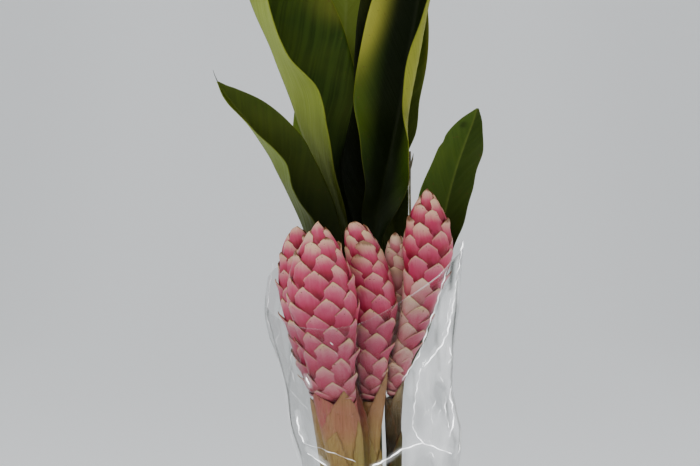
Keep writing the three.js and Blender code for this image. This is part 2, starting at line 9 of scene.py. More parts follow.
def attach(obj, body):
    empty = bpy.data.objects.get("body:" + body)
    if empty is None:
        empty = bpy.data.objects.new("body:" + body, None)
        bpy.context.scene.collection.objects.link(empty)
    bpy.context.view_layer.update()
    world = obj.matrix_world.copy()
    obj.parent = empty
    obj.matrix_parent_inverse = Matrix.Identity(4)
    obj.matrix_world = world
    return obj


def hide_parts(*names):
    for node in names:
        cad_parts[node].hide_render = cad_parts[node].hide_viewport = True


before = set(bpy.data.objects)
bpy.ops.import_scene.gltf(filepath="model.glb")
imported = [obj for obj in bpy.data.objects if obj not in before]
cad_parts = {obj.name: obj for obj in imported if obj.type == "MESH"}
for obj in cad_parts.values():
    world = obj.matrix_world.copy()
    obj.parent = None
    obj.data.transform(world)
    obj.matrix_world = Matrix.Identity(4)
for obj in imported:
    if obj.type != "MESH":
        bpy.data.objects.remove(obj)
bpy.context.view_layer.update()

# All lengths below are in millimetres and turned into metres when a mesh is made.
MM = 0.001
GOLDEN_ANGLE = math.radians(137.508)
FRONT = -math.pi / 2  # the direction of the photo's camera

# The five cones, as in the frame: tip height, length, greatest radius, how far below the tip
# that is, base radius, bluntness, how early it narrows below, the spiral's hand, bract area,
# and the axis (height, x, y)
CONES = {
    "back_left": dict(
        tip=464, length=176, radius=24, widest=80, base=14, blunt=0.6, taper=-0.25, hand=1, area=380,
        axis=[[288, -47, 36], [330, -58, 39], [390, -69, 40.5], [430, -73, 34], [464, -75, 27]]),
    "front_left": dict(
        tip=469, length=184, radius=34.5, widest=85, base=19.5, blunt=0.95, taper=0.6, hand=-1, area=420,
        axis=[[285, -35.5, -20], [309, -39, -20], [343, -43.4, -20], [380, -47.6, -20], [410, -51, -20],
              [469, -53, -19]]),
    "centre": dict(
        tip=469, length=181, radius=22.5, widest=90, base=11, blunt=0.45, taper=0.3, hand=1, area=390,
        axis=[[288, 0, 10.5], [318, 0.5, 11], [340, 0.8, 12.5], [362, 2, 15], [390, 2, 17], [430, -6, 17],
              [469, -17, 17]]),
    "small_right": dict(
        tip=458, length=168, radius=14, widest=55, base=7.5, blunt=0.6, taper=-0.25, hand=1, area=300,
        axis=[[290, 23, 42], [330, 25, 45.5], [380, 28, 46.8], [458, 25, 45]]),
    "tall_right": dict(
        tip=502, length=212, radius=24.5, widest=66, base=7, blunt=0.9, taper=0.4, hand=1, area=400,
        axis=[[290, 22, 19], [309, 24.5, 20.5], [325, 29, 21], [345, 35.5, 21], [367, 42.5, 19],
              [388, 48, 17], [410, 53, 16], [430, 56, 16], [502, 56, 16]]),
}

STALKS = {
    "back_left": [[74, -38, 18, 8], [130, -38, 18, 8], [200, -41, 26, 9], [287.7, -47, 36, 13.6]],
    "front_left": [[74, -16, -18, 9], [130, -16, -18, 9], [170, -18.5, -18.5, 11], [224, -24.5, -20, 15.2],
                   [255, -30, -20, 18.4], [284.7, -35.5, -20, 19.3]],
    "centre": [[74, 4, 6, 6.5], [130, 4, 6, 6.5], [224, 1.5, 9, 6.2], [250, 0.5, 10, 7],
               [287.7, 0, 10.5, 10.6]],
    "small_right": [[74, 22, 24, 6], [130, 22, 24, 6], [220, 22, 33, 6], [289.7, 23, 42, 7.2]],
    "tall_right": [[74, 30, -4, 6], [130, 30, -4, 6], [224, 22, 10, 6], [289.7, 22, 19, 6.7]],
}

# Sheaths of two stalks: tip height, direction from the front, how far round it reaches to each
# side, length, lift off the stalk, lean of the tip, bluntness of the tip, rosy and green share
SHEATHS = {
    "front_left": [
        (299, -1.1, 2.3, 66, 1.4, 0, 1.9, 1, 0), (296, 2, 2.3, 64, 1.2, 0, 2.6, 1, 0),
        (302, 0.45, 2.4, 84, 2, 0, 0.72, 0.5, 0), (262, -1.7, 1.9, 84, 2.3, 1.5, 1, 0.1, 0.1),
        (272, 2, 1.9, 88, 2, -0.9, 1, 0, 0.35), (214, 0.4, 1.8, 74, 3, 0, 1.5, 0, 0.5),
        (176, -0.9, 1.8, 60, 2.2, 0, 1.5, 0, 0.3)],
    "centre": [
        (318, 1.15, 2.2, 88, 2, 0, 0.85, 0.15, 0), (330, -1.9, 1.6, 112, 7, 0, 1.8, 0.9, 0),
        (262, -0.9, 1.8, 66, 2.4, 0.2, 1.2, 0.1, 0.5), (240, 1.2, 1.8, 60, 2.8, -0.2, 1.2, 0, 0.1),
        (190, 0.4, 1.8, 60, 1.6, 0, 1.5, 0, 0.4)],
}
# Sheaths of the others: how far below the stalk's top, direction from the front, green share
PLAIN_SHEATHS = [(42, 0.9, 0), (58, -1.2, 0), (94, 1.0, 0.15), (138, -0.6, 0.3)]

SHOOTS = {
    "left": [[74, -16, 38, 7.5], [130, -16, 38, 7.5], [220, -18, 46, 7], [320, -21, 54, 6.5],
             [374, -21, 59, 5]],
    "centre": [[74, 6, 46, 7.5], [130, 6, 46, 7.5], [220, 4, 53, 7], [320, 1, 59, 6.5], [430, 0, 65, 4.5]],
    "right": [[74, 24, 44, 7.5], [130, 24, 44, 7.5], [220, 22, 49, 7], [290, 25, 58, 6.3], [310, 29, 62, 6],
              [390, 37, 70, 4.5]],
}

DRY_STEM = [[74, 28, 10, 1.8], [130, 28, 10, 1.8], [220, 25, 21, 1.7], [260, 26, 26, 1.7], [290, 28, 30, 1.6],
            [310, 32, 33.5, 1.6], [340, 38.5, 38, 1.5], [370, 42, 42, 1.5], [400, 46, 43.5, 1.5],
            [440, 42, 43.5, 1.4], [480, 39.5, 50, 1.3], [541, 39.5, 56, 1.1]]
DRY_SPLINTER = [[520, 39.3, 54.2, 0.5], [526, 40.6, 54.4, 1.1], [533, 42.2, 54.8, 0.9], [539, 43.2, 55, 0.15]]

# Leaf stations, as in the frame: height, x and y of the midrib, half width, the direction that
# the upper side faces, and the fold of the left and right half, in degrees. A curl bends the
# right half, in degrees, and a nick in the left margin has a height, a size and a depth.
LEAVES = {
    "far_left": dict(wave=1.5, look="deep", stations=[
        [330, -25, 55, 4, -40, 35, 35], [370, -37, 60, 13, -40, 48, 48], [420, -54, 63, 29, -40, 66, 52],
        [466, -71, 62, 38, -38, 58, 52], [500, -86.5, 60, 40, -38, 53, 52], [521, -97, 58, 40, -38, 63, 51],
        [537, -105, 56, 39, -38, 57, 50], [571, -128, 51, 29, -40, 47, 42], [600, -151, 46, 11, -40, 44, 34],
        [612, -157.5, 45, 1, -40, 42, 30]]),
    "big_left": dict(wave=2.5, look="ribbed", stations=[
        [392, -3, 66, 4, -40, 40, 40], [425, -15, 75, 12, -40, 50, 50], [465, -32, 81, 27, -38, 52, 52],
        [510, -49, 84, 48, -38, 60, 52], [560, -71, 85, 66, -38, 65, 52], [590, -81, 85, 71, -38, 62, 51],
        [606, -87, 85, 74, -38, 57, 50], [630, -96.5, 84.5, 77, -38, 51, 50],
        [652, -105, 84, 78, -38, 50, 50], [690, -122, 82, 76, -38, 56, 50], [750, -143, 78, 58, -38, 54, 50],
        [805, -157, 74, 24, -38, 45, 45], [835, -162, 72, 1, -38, 30, 30]]),
    "back_pale": dict(wave=1.5, look="pale", stations=[
        [368, -21, 61, 4, 90, 10, 10], [430, -25, 88, 9, 90, 12, 12], [500, -30, 98, 24, 90, 12, 12],
        [570, -30, 103, 34, 90, 12, 12], [640, -28, 107, 36, 90, 12, 12], [700, -26, 110, 30, 90, 12, 12],
        [760, -24, 112, 15, 90, 10, 10], [795, -22, 112, 1, 90, 5, 5]]),
    "back_dark": dict(wave=1.5, look="black", stations=[
        [424, 0, 65, 4, -90, 10, 10], [470, -4, 71, 16, -90, 12, 12], [518, -2, 75, 31, -90, 12, 12],
        [547, 4, 77, 32, -90, 12, 12], [587, 9, 78, 29, -90, 12, 12], [640, 13, 79, 31, -90, 12, 12],
        [690, 17, 80, 30, -90, 12, 12], [755, 20, 80, 20, -90, 10, 10], [800, 21, 79, 1, -90, 5, 5]]),
    "big_centre": dict(wave=2, look="glint", stations=[
        [404, -1, 58, 4, -90, 20, 0], [440, 1, 60, 9, -90, 20, 0], [470, 5, 63, 16, -88, 15, 5],
        [500, 10, 65, 25, -80, 38, -12], [531, 17.5, 66, 34, -92, 38, 20], [556, 23, 67, 43, -98, 38, 36],
        [594, 31, 67, 50, -103, 15, 35], [645, 39, 66, 50, -103, 15, 26], [690, 47, 65, 47, -103, 15, 35],
        [760, 58, 64, 33, -100, 15, 20], [815, 64, 62, 13, -95, 12, 0], [843, 66, 61, 1, -95, 10, 0]],
        curl=[[404, 60], [531, 60], [556, 50], [594, 85], [645, 105], [690, 60], [760, 50], [843, 50]]),
    "back_right": dict(wave=2, look="deep", stations=[
        [384, 37, 70, 4, -90, 10, 10], [430, 27, 80, 10, -88, 12, 12], [480, 22, 87, 17, -88, 12, 12],
        [543, 20, 90, 20, -88, 12, 12], [568, 24, 91, 24, -88, 12, 12], [598, 27, 91, 24, -88, 12, 12],
        [645, 33, 91, 27, -88, 12, 12], [690, 36, 90, 24, -88, 12, 12], [750, 40, 88, 13, -88, 10, 10],
        [785, 42, 87, 1, -88, 5, 5]]),
    "right": dict(wave=1.5, look="fresh", nick=(543, 4.5, 1.8), stations=[
        [312, 34, 61, 4, -90, 20, 20], [332, 41.5, 60, 5.2, -91, 21, 25], [350, 50, 58, 7, -92, 22, 30],
        [400, 61, 58, 12, -95, 24, 40],
        [430, 66, 57, 19, -97, 25, 44], [450, 69, 56, 25, -97, 25, 45], [483, 76.6, 54, 31, -97, 25, 42],
        [506, 82.3, 53, 30, -97, 25, 38], [526, 88, 52, 27, -97, 25, 37], [548, 95.7, 52, 24, -97, 25, 37],
        [570, 104, 52, 13, -97, 22, 34], [585, 109, 52, 1, -97, 15, 20]]),
    "rear_left": dict(wave=2, look="back", stations=[
        [296, -20, 54, 3, 118, 10, 10], [330, -27, 66, 6, 118, 12, 12], [372, -36, 74, 8, 118, 12, 12],
        [400, -40, 76, 7, 118, 14, 14], [430, -44, 80, 8, 115, 16, 16], [462, -52, 94, 14, 115, 16, 16],
        [520, -58, 112, 25, 112, 16, 16], [590, -57, 130, 24, 110, 16, 16], [650, -57, 143, 15, 110, 14, 14],
        [690, -58, 150, 1, 110, 5, 5]]),
    "rear_right": dict(wave=2, look="back", stations=[
        [404, 3, 66, 4, 80, 10, 10], [435, 13, 84, 9, 80, 12, 12], [480, 14, 101, 18, 80, 14, 14],
        [540, 14, 118, 25, 78, 16, 16], [600, 15, 132, 24, 75, 16, 16], [650, 16, 142, 12, 75, 14, 14],
        [680, 16, 147, 1, 75, 5, 5]]),
}

FILM = [[2, 0, 0, 56, 56], [118, 0, 0, 75.95, 75.95], [146, 0, 0, 76.1, 76.1], [180, 3, 1, 77, 77],
        [225, 8, 3, 78, 80], [262, 4, 5, 86, 84], [309, -3, 6, 85, 87], [375, -11, 6, 96, 92],
        [450, -4, 6, 97, 95]]
FILM_EDGE = [[-180, 398], [-150, 374], [-120, 365], [-95, 369], [-72, 386], [-26, 433], [0, 450], [40, 444],
             [90, 436], [130, 432], [160, 420], [180, 398]]

# Curves and meshes


def smooth(rows):
    """A smooth function through rows of numbers; a row's first number is where it holds."""
    rows = np.asarray(rows, float)
    where = rows[:, 0]
    values = rows[:, 1:]
    count = len(rows)
    before = np.maximum(np.arange(count) - 1, 0)
    after = np.minimum(np.arange(count) + 1, count - 1)
    slopes = (values[after] - values[before]) / (where[after] - where[before])[:, None]

    def at(place):
        place = np.asarray(place, float)
        i = np.clip(np.searchsorted(where, place, side="left") - 1, 0, count - 2)
        span = where[i + 1] - where[i]
        s = np.clip((place - where[i]) / span, 0, 1)
        late = (s * s * (3 - 2 * s))[..., None]
        leave = (s * (1 - s) ** 2 * span)[..., None]
        arrive = (s * s * (s - 1) * span)[..., None]
        return values[i] + (values[i + 1] - values[i]) * late + slopes[i] * leave + slopes[i + 1] * arrive

    return at


def blend(low, high, value):
    """Goes softly from 0 to 1 while the value goes from low to high."""
    s = np.clip((np.asarray(value, float) - low) / (high - low), 0, 1)
    return s * s * (3 - 2 * s)


def linear(red, green, blue):
    """A linear colour from its usual 0 to 255 numbers."""
    def one(c):
        c /= 255
        return c / 12.92 if c <= 0.04045 else ((c + 0.055) / 1.055) ** 2.4
    return (one(red), one(green), one(blue), 1.0)


def unit(vectors):
    return vectors / np.linalg.norm(vectors, axis=-1, keepdims=True)


def circle(count):
    """Directions all round, in radians."""
    return np.linspace(0, 2 * math.pi, count + 1)[:-1]


def ring(centre, reach, turn, z, deep=None):
    """Points round a centre; deep is how far they reach along y, where it is another number."""
    x = centre[..., 0] + reach * np.cos(turn)
    y = centre[..., 1] + (reach if deep is None else deep) * np.sin(turn)
    return np.stack(np.broadcast_arrays(x, y, z), -1)


def add_object(name, data):
    made = bpy.data.objects.new(name, data)
    bpy.context.collection.objects.link(made)
    return made


def quads_between(rows, cols, wrap):
    """The corners of the faces of a grid of points."""
    i, j = np.meshgrid(np.arange(rows - 1), np.arange(cols if wrap else cols - 1), indexing="ij")
    i, j = i.ravel(), j.ravel()
    k = (j + 1) % cols
    return np.stack([i * cols + j, i * cols + k, (i + 1) * cols + k, (i + 1) * cols + j], 1)


class Build:
    """Gathers closed sheets and tubes into one mesh, with numbers at its points."""

    def __init__(self):
        self.points = []
        self.faces = []
        self.values = {}
        self.count = 0

    def _points(self, points, values):
        flat = points.reshape(-1, 3)
        start = self.count
        self.points.append(flat)
        for name in sorted(set(self.values) | set(values)):
            kept = self.values.setdefault(name, [np.zeros(start)] if start else [])
            given = np.asarray(values.get(name, 0.0), float)
            kept.append(np.broadcast_to(given, points.shape[:-1]).reshape(-1))
        self.count += len(flat)
        return start

    def sheet(self, outer, inner, values, wrap=False):
        """A closed sheet between two grids: rows go up, columns to the right seen from outside."""
        rows, cols = outer.shape[:2]
        a = self._points(outer, {**values, "under": 0.0})
        b = self._points(inner, {**values, "under": 1.0})
        quads = quads_between(rows, cols, wrap)
        self.faces.append(quads + a)
        self.faces.append(quads[:, ::-1] + b)
        j = np.arange(cols if wrap else cols - 1)
        k = (j + 1) % cols
        top = (rows - 1) * cols
        self.faces.append(np.stack([a + j, b + j, b + k, a + k], 1))
        self.faces.append(np.stack([a + top + j, a + top + k, b + top + k, b + top + j], 1))
        if not wrap:
            i = np.arange(rows - 1) * cols
            j = i + cols - 1
            self.faces.append(np.stack([a + i, a + i + cols, b + i + cols, b + i], 1))
            self.faces.append(np.stack([a + j, b + j, b + j + cols, a + j + cols], 1))

    def tube(self, rings, values):
        """A closed tube of rings, lowest first, counter-clockwise from above."""
        rows, cols = rings.shape[:2]
        a = self._points(rings, values)
        self.faces.append(quads_between(rows, cols, True) + a)
        ends = np.stack([rings[0].mean(0), rings[-1].mean(0)])
        end_values = {}
        for name, given in values.items():
            full = np.broadcast_to(np.asarray(given, float), rings.shape[:-1])
            end_values[name] = np.array([full[0].mean(), full[-1].mean()])
        b = self._points(ends, end_values)
        j = np.arange(cols)
        k = (j + 1) % cols
        top = a + (rows - 1) * cols
        no_corner = np.full(cols, -1)
        self.faces.append(np.stack([np.full(cols, b), a + k, a + j, no_corner], 1))
        self.faces.append(np.stack([np.full(cols, b + 1), top + j, top + k, no_corner], 1))

    def mesh(self, name):
        mesh = bpy.data.meshes.new(name)
        points = np.concatenate(self.points) * MM
        faces = np.concatenate(self.faces)
        sizes = np.where(faces[:, 3] < 0, 3, 4)
        corners = faces[faces >= 0]
        mesh.vertices.add(len(points))
        mesh.vertices.foreach_set("co", points.ravel())
        mesh.loops.add(len(corners))
        mesh.loops.foreach_set("vertex_index", corners.astype(np.int32))
        mesh.polygons.add(len(faces))
        mesh.polygons.foreach_set("loop_start", (np.cumsum(sizes) - sizes).astype(np.int32))
        mesh.update(calc_edges=True)
        mesh.validate()
        mesh.polygons.foreach_set("use_smooth", np.ones(len(mesh.polygons), bool))
        for key, kept in self.values.items():
            made = mesh.attributes.new(key, "FLOAT", "POINT")
            made.data.foreach_set("value", np.concatenate(kept).astype(np.float32))
        return mesh

    def object(self, name, material, slot, *nodes):
        made = add_object(name, self.mesh(name))
        made.data.materials.append(material)
        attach(made, "root")
        if nodes:
            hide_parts(*nodes)
        return made


# Materials


class Nodes:
    """Short names for the nodes of one material."""

    def __init__(self, name):
        self.material = bpy.data.materials.new(name)
        self.material.use_nodes = True
        self.tree = self.material.node_tree
        self.shader = self.tree.nodes["Principled BSDF"]

    def node(self, kind, **settings):
        made = self.tree.nodes.new(kind)
        for key, value in settings.items():
            setattr(made, key, value)
        return made

    def put(self, value, socket):
        if isinstance(value, bpy.types.NodeSocket):
            self.tree.links.new(value, socket)
        else:
            socket.default_value = value

    def set(self, name, value):
        """Gives a socket of the main shader its value."""
        self.put(value, self.shader.inputs[name])

    def attribute(self, name):
        return self.node("ShaderNodeAttribute", attribute_name=name).outputs["Fac"]

    def place(self):
        return self.node("ShaderNodeTexCoord").outputs["Object"]

    def coordinate(self, index):
        """The place's x, y or z, in metres."""
        split = self.node("ShaderNodeSeparateXYZ")
        self.put(self.place(), split.inputs[0])
        return split.outputs[index]

    def math(self, operation, a, b=0.0, clamp=False):
        made = self.node("ShaderNodeMath", operation=operation, use_clamp=clamp)
        self.put(a, made.inputs[0])
        self.put(b, made.inputs[1])
        return made.outputs[0]

    def times(self, a, b):
        return self.math("MULTIPLY", a, b)

    def plus(self, a, b):
        return self.math("ADD", a, b)

    def minus(self, a, b):
        return self.math("SUBTRACT", a, b)

    def larger(self, a, b):
        return self.math("MAXIMUM", a, b)

    def sway(self, value, amount):
        """Turns a number from 0 to 1 into one that goes to both sides of 0."""
        return self.times(self.minus(value, 0.5), amount)

    def vector(self, x, y, z):
        made = self.node("ShaderNodeCombineXYZ")
        for value, socket in zip((x, y, z), made.inputs):
            self.put(value, socket)
        return made.outputs[0]

    def range(self, value, low, high, to_low=0.0, to_high=1.0):
        made = self.node("ShaderNodeMapRange", interpolation_type="SMOOTHSTEP")
        for number, socket in zip((value, low, high, to_low, to_high), made.inputs):
            self.put(number, socket)
        return made.outputs[0]

    def noise(self, vector, scale, detail=3.0, rough=0.5):
        made = self.node("ShaderNodeTexNoise")
        for key, value in (("Vector", vector), ("Scale", scale), ("Detail", detail), ("Roughness", rough)):
            self.put(value, made.inputs[key])
        return made.outputs["Fac"]

    def ramp(self, value, *stops):
        made = self.node("ShaderNodeValToRGB")
        stripe = made.color_ramp
        while len(stripe.elements) < len(stops):
            stripe.elements.new(0.5)
        for element, (place, colour) in zip(stripe.elements, stops):
            element.position = place
            element.color = colour
        self.put(value, made.inputs[0])
        return made.outputs[0]

    def mix(self, factor, a, b):
        made = self.node("ShaderNodeMix", data_type="RGBA")
        self.put(factor, made.inputs[0])
        self.put(a, made.inputs[6])
        self.put(b, made.inputs[7])
        return made.outputs[2]

    def tint(self, skin, colour, mask, amount):
        """The skin with up to this amount of a colour, where the mask is high."""
        return self.mix(self.times(mask, amount), skin, colour)

    def bump(self, height, strength, distance):
        made = self.node("ShaderNodeBump")
        for key, value in (("Strength", strength), ("Distance", distance), ("Height", height)):
            self.put(value, made.inputs[key])
        self.set("Normal", made.outputs[0])

    def colour(self, value):
        self.set("Base Color", value)

    def rough(self, value):
        self.set("Roughness", value)


def bract_material():
    """Dark crimson at a bract's root, partly its own colour and partly painted shade where the bract below
    covers it; pink along it, cream at its tip, with a thin brown edge.
    """
    n = Nodes("bract")
    names = ("along", "across", "edge", "seed", "tone", "bud")
    along, across, edge, seed, tone, bud = map(n.attribute, names)
    streaks = n.noise(n.vector(n.times(across, 0.5), n.times(along, 1.2), seed), 1.0, 4, 0.6)
    mottle = n.noise(n.place(), 110, 3, 0.55)
    shift = n.plus(n.sway(streaks, 0.15), n.sway(mottle, 0.16))
    shift = n.plus(shift, n.sway(n.math("FRACT", seed), 0.16))
    ripe = n.plus(along, shift)
    where = n.plus(ripe, n.math("MINIMUM", tone, 0.0))
    # painted shade: the lowest stops are dark crimson, for the shade in the crevices under the bracts below
    skin = n.ramp(
        where,
        (0.00, linear(84, 8, 20)), (0.34, linear(122, 16, 38)), (0.48, linear(156, 36, 62)),
        (0.60, linear(178, 58, 90)), (0.74, linear(192, 86, 112)), (0.86, linear(206, 122, 134)),
        (0.95, linear(212, 156, 140)), (1.00, linear(212, 182, 136)),
    )
    # the pale ramp, for faded bracts; the small cone also takes it as painted light, paler than its own
    # colour, against the shade it stands in
    faded = n.ramp(
        where,
        (0.00, linear(96, 40, 42)), (0.36, linear(168, 92, 94)), (0.60, linear(206, 142, 140)),
        (0.86, linear(222, 190, 168)), (1.00, linear(220, 200, 160)),
    )
    skin = n.mix(tone, skin, faded)
    heart = n.noise(n.vector(n.times(across, 0.11), n.times(along, 3.2), seed), 1.0, 2, 0.5)
    heart = n.times(n.range(heart, 0.5, 0.7), n.range(edge, 2.0, 7.0))
    skin = n.tint(skin, linear(182, 50, 90), heart, 0.5)
    cream = n.times(n.range(edge, 0.4, 3.2, 1.0, 0.0), n.range(along, 0.66, 0.95))
    skin = n.tint(skin, linear(216, 178, 138), cream, 0.55)
    dried = n.times(bud, n.range(ripe, 0.62, 0.97))
    skin = n.tint(skin, linear(216, 182, 142), dried, 0.75)
    line = n.times(n.range(edge, 0.25, 1.1, 1.0, 0.0), n.range(along, 0.6, 0.8))
    line = n.times(line, n.range(n.noise(n.place(), 190, 2, 0.5), 0.30, 0.48))
    skin = n.tint(skin, linear(116, 74, 34), line, 0.9)
    scorch = n.times(n.range(n.math("FRACT", n.times(seed, 3.7)), 0.3, 0.6), bud)
    scorch = n.times(scorch, n.range(ripe, 0.88, 0.97))
    skin = n.tint(skin, linear(92, 48, 22), scorch, 0.9)
    spots = n.times(n.range(n.noise(n.place(), 420, 1, 0.4), 0.68, 0.74), n.range(along, 0.7, 0.9))
    n.colour(n.tint(skin, linear(96, 56, 26), spots, 0.85))
    n.rough(n.range(mottle, 0.3, 0.7, 0.36, 0.50))
    n.set("Specular IOR Level", 0.28)
    n.set("Subsurface Weight", 0.12)
    n.set("Subsurface Radius", (0.006, 0.0022, 0.002))
    n.set("Subsurface Scale", 0.5)
    n.bump(n.plus(n.times(streaks, 0.7), n.times(mottle, 0.3)), 0.16, 0.0012)
    return n.material


LOOKS = {
    # upper side, its lighter bands, underside, margin, depth of the bands
    "deep": (linear(56, 68, 20), linear(68, 82, 24), linear(140, 158, 66), linear(106, 114, 34), 0.5),
    "ribbed": (linear(38, 55, 13), linear(60, 82, 24), linear(150, 164, 62), linear(138, 142, 44), 0.7),
    "pale": (linear(90, 106, 62), linear(100, 116, 70), linear(104, 118, 46), linear(120, 130, 50), 0.4),
    # painted shade: this back leaf lies in the shadow of the others, so its colours are near black
    "black": (linear(18, 24, 2), linear(28, 36, 4), linear(56, 70, 20), linear(44, 54, 12), 0.4),
    "glint": (linear(50, 72, 18), linear(62, 84, 24), linear(150, 152, 52), linear(118, 126, 34), 0.4),
    "fresh": (linear(58, 78, 24), linear(70, 90, 30), linear(110, 130, 46), linear(98, 108, 34), 0.5),
    "back": (linear(50, 66, 12), linear(68, 86, 24), linear(104, 124, 46), linear(112, 120, 40), 0.5),
}


def leaf_material(look):
    """Bands along the side veins, a pale midrib and margin, and shade where a leaf lies deep."""
    upper, band, under, margin, depth = LOOKS[look]
    n = Nodes("leaf_" + look)
    names = ("vein", "run", "shade", "glow", "edge", "rib", "under")
    vein, run, shade, glow, edge, rib, side = map(n.attribute, names)
    broad = n.noise(n.vector(n.times(vein, 0.28), n.times(run, 0.006), 1.7), 1.0, 1.5, 0.4)
    fine = n.noise(n.vector(n.times(vein, 0.75), n.times(run, 0.012), 5.1), 1.0, 3, 0.6)
    cloud = n.noise(n.place(), 16, 3, 0.5)
    top = n.tint(upper, band, n.range(broad, 0.38, 0.66), depth)
    top = n.tint(top, band, n.range(fine, 0.35, 0.75), 0.35)
    top = n.tint(top, linear(160, 158, 60), glow, 0.95)
    top = n.tint(top, linear(112, 118, 48), rib, 0.3)
    low = n.tint(under, linear(80, 98, 26), n.range(fine, 0.3, 0.8), 0.35)
    low = n.tint(low, linear(140, 152, 80), rib, 0.3)
    skin = n.mix(side, top, low)
    skin = n.mix(n.range(cloud, 0.35, 0.7, 0.0, 0.25), skin, linear(92, 100, 30))
    skin = n.mix(n.range(edge, 0.15, 0.9, 0.55, 0.0), skin, margin)
    specks = n.range(n.noise(n.place(), 260, 1, 0.4), 0.71, 0.76)
    specks = n.times(specks, n.range(edge, 1, 26, 1.0, 0.1))
    skin = n.tint(skin, linear(92, 72, 34), specks, 0.55)
    skin = n.mix(n.attribute("blot"), skin, linear(24, 30, 8))
    shade = n.larger(shade, n.times(side, n.attribute("lit")))
    shade = n.larger(shade, n.times(n.minus(1.0, side), n.attribute("lit_top")))
    n.colour(n.mix(shade, linear(8, 13, 2), skin))
    n.rough(n.range(fine, 0.3, 0.7, 0.46, 0.6))
    n.set("Specular IOR Level", 0.07)
    n.bump(n.plus(n.times(broad, 0.7), n.times(fine, 0.5)), 0.35, 0.0015)
    return n.material


def sheath_material(name, top, middle, bottom, dark, low, high, gloss=0.3):
    """A dry leaf sheath round a stalk: its colour runs from bottom to top over low to high, in mm."""
    n = Nodes(name)
    place = n.place()
    level = n.range(n.coordinate(2), low * MM, high * MM)
    grain = n.node("ShaderNodeMapping")
    grain.inputs["Scale"].default_value = (1.0, 1.0, 0.05)
    n.put(place, grain.inputs["Vector"])
    streaks = n.noise(grain.outputs[0], 560, 4, 0.65)
    broad = n.noise(grain.outputs[0], 170, 3, 0.5)
    cloud = n.noise(place, 42, 3, 0.55)
    skin = n.ramp(n.plus(level, n.sway(cloud, 0.9)), (0.0, bottom), (0.5, middle), (1.0, top))
    skin = n.mix(n.attribute("green"), skin, linear(150, 142, 66))
    skin = n.tint(skin, linear(168, 84, 84), n.attribute("rosy"), n.range(broad, 0.25, 0.6, 0.55, 1.0))
    skin = n.tint(skin, dark, n.range(streaks, 0.42, 0.75), 0.55)
    skin = n.tint(skin, dark, n.range(broad, 0.5, 0.75), 0.35)
    flecks = n.range(n.noise(place, 300, 2, 0.5), 0.68, 0.74)
    skin = n.tint(skin, linear(104, 62, 26), flecks, 0.6)
    torn = n.range(n.noise(place, 260, 2, 0.6), 0.35, 0.62, 0.6, 2.9)
    brown = n.times(n.range(n.attribute("edge"), 0.2, torn, 1.0, 0.0), n.attribute("sheet"))
    n.colour(n.tint(skin, linear(104, 64, 34), brown, 0.45))
    n.rough(n.range(cloud, 0.3, 0.7, 0.42, 0.6))
    n.set("Specular IOR Level", gloss)
    n.bump(n.plus(streaks, broad), 0.35, 0.0012)
    return n.material


def film_material():
    """Clear film with painted highlights, white and glowing along its creases, a painted white sheen where it
    is hazy, and painted shade, grey, where it folds away.
    """
    n = Nodes("clear_film")
    crease, haze, fold = map(n.attribute, ("crease", "haze", "fold"))
    glow = n.range(n.larger(crease, haze), 0.004, 0.05)
    n.colour(n.mix(glow, (0.25, 0.26, 0.27, 1), (0.9, 0.92, 0.94, 1)))
    n.rough(0.16)
    n.set("IOR", 2.0)
    n.set("Coat Weight", 1.0)
    n.set("Coat IOR", 2.0)
    n.set("Coat Roughness", 0.1)
    # painted highlights: the creases glow white, though no lamp is there
    n.set("Emission Color", n.mix(glow, (0, 0, 0, 1), (1, 1, 1, 1)))
    n.set("Emission Strength", n.range(crease, 0.15, 0.8, 0.7, 3.6))
    n.bump(n.noise(n.place(), 34, 4, 0.6), 0.5, 0.003)
    clear = n.node("ShaderNodeBsdfTransparent")
    # painted shade: the film lets less through, and looks grey, where it folds away
    n.put(n.mix(fold, (0.974, 0.975, 0.974, 1), (0.30, 0.31, 0.29, 1)), clear.inputs[0])
    facing = n.node("ShaderNodeLayerWeight")
    facing.inputs["Blend"].default_value = 0.2
    amount = n.plus(n.times(facing.outputs["Fresnel"], 0.13), n.times(crease, 0.85))
    mixed = n.node("ShaderNodeMixShader")
    n.put(n.math("ADD", amount, haze, True), mixed.inputs[0])
    n.put(clear.outputs[0], mixed.inputs[1])
    n.put(n.shader.outputs[0], mixed.inputs[2])
    n.put(mixed.outputs[0], n.tree.nodes["Material Output"].inputs["Surface"])
    return n.material


def pot_material():
    n = Nodes("pot_plastic")
    place = n.place()
    cloud = n.noise(place, 60, 4, 0.6)
    fine = n.noise(place, 900, 2, 0.5)
    n.colour(n.ramp(cloud, (0.3, linear(34, 36, 38)), (0.7, linear(48, 50, 52))))
    n.rough(n.range(fine, 0.3, 0.7, 0.46, 0.62))
    n.bump(fine, 0.2, 0.0004)
    return n.material


def soil_material():
    n = Nodes("soil")
    place = n.place()
    grain = n.noise(place, 260, 6, 0.7)
    cloud = n.noise(place, 40, 3, 0.5)
    dark = n.ramp(grain, (0.3, linear(26, 18, 13)), (0.55, linear(58, 42, 30)), (0.8, linear(92, 72, 52)))
    n.colour(n.mix(n.range(cloud, 0.4, 0.7, 0.0, 0.5), dark, linear(34, 25, 18)))
    n.rough(0.95)
    n.bump(grain, 0.8, 0.003)
    return n.material


def grained_material(name, scale, detail, rough, raised, *stops):
    """Matter whose colour and surface follow a fine grain."""
    n = Nodes(name)
    grain = n.noise(n.place(), scale, detail, 0.6)
    n.colour(n.ramp(grain, *stops))
    n.rough(rough)
    n.bump(grain, raised, 0.001)
    return n.material


def crumb_material():
    return grained_material("bark_crumb", 420, 4, 0.9, 0.5, (0.3, linear(60, 40, 26)),
                            (0.7, linear(112, 84, 58)))


def dry_material():
    return grained_material("dry_stem", 300, 3, 0.8, 0.4, (0.3, linear(74, 68, 50)),
                            (0.55, linear(120, 114, 92)), (0.8, linear(160, 156, 138)))


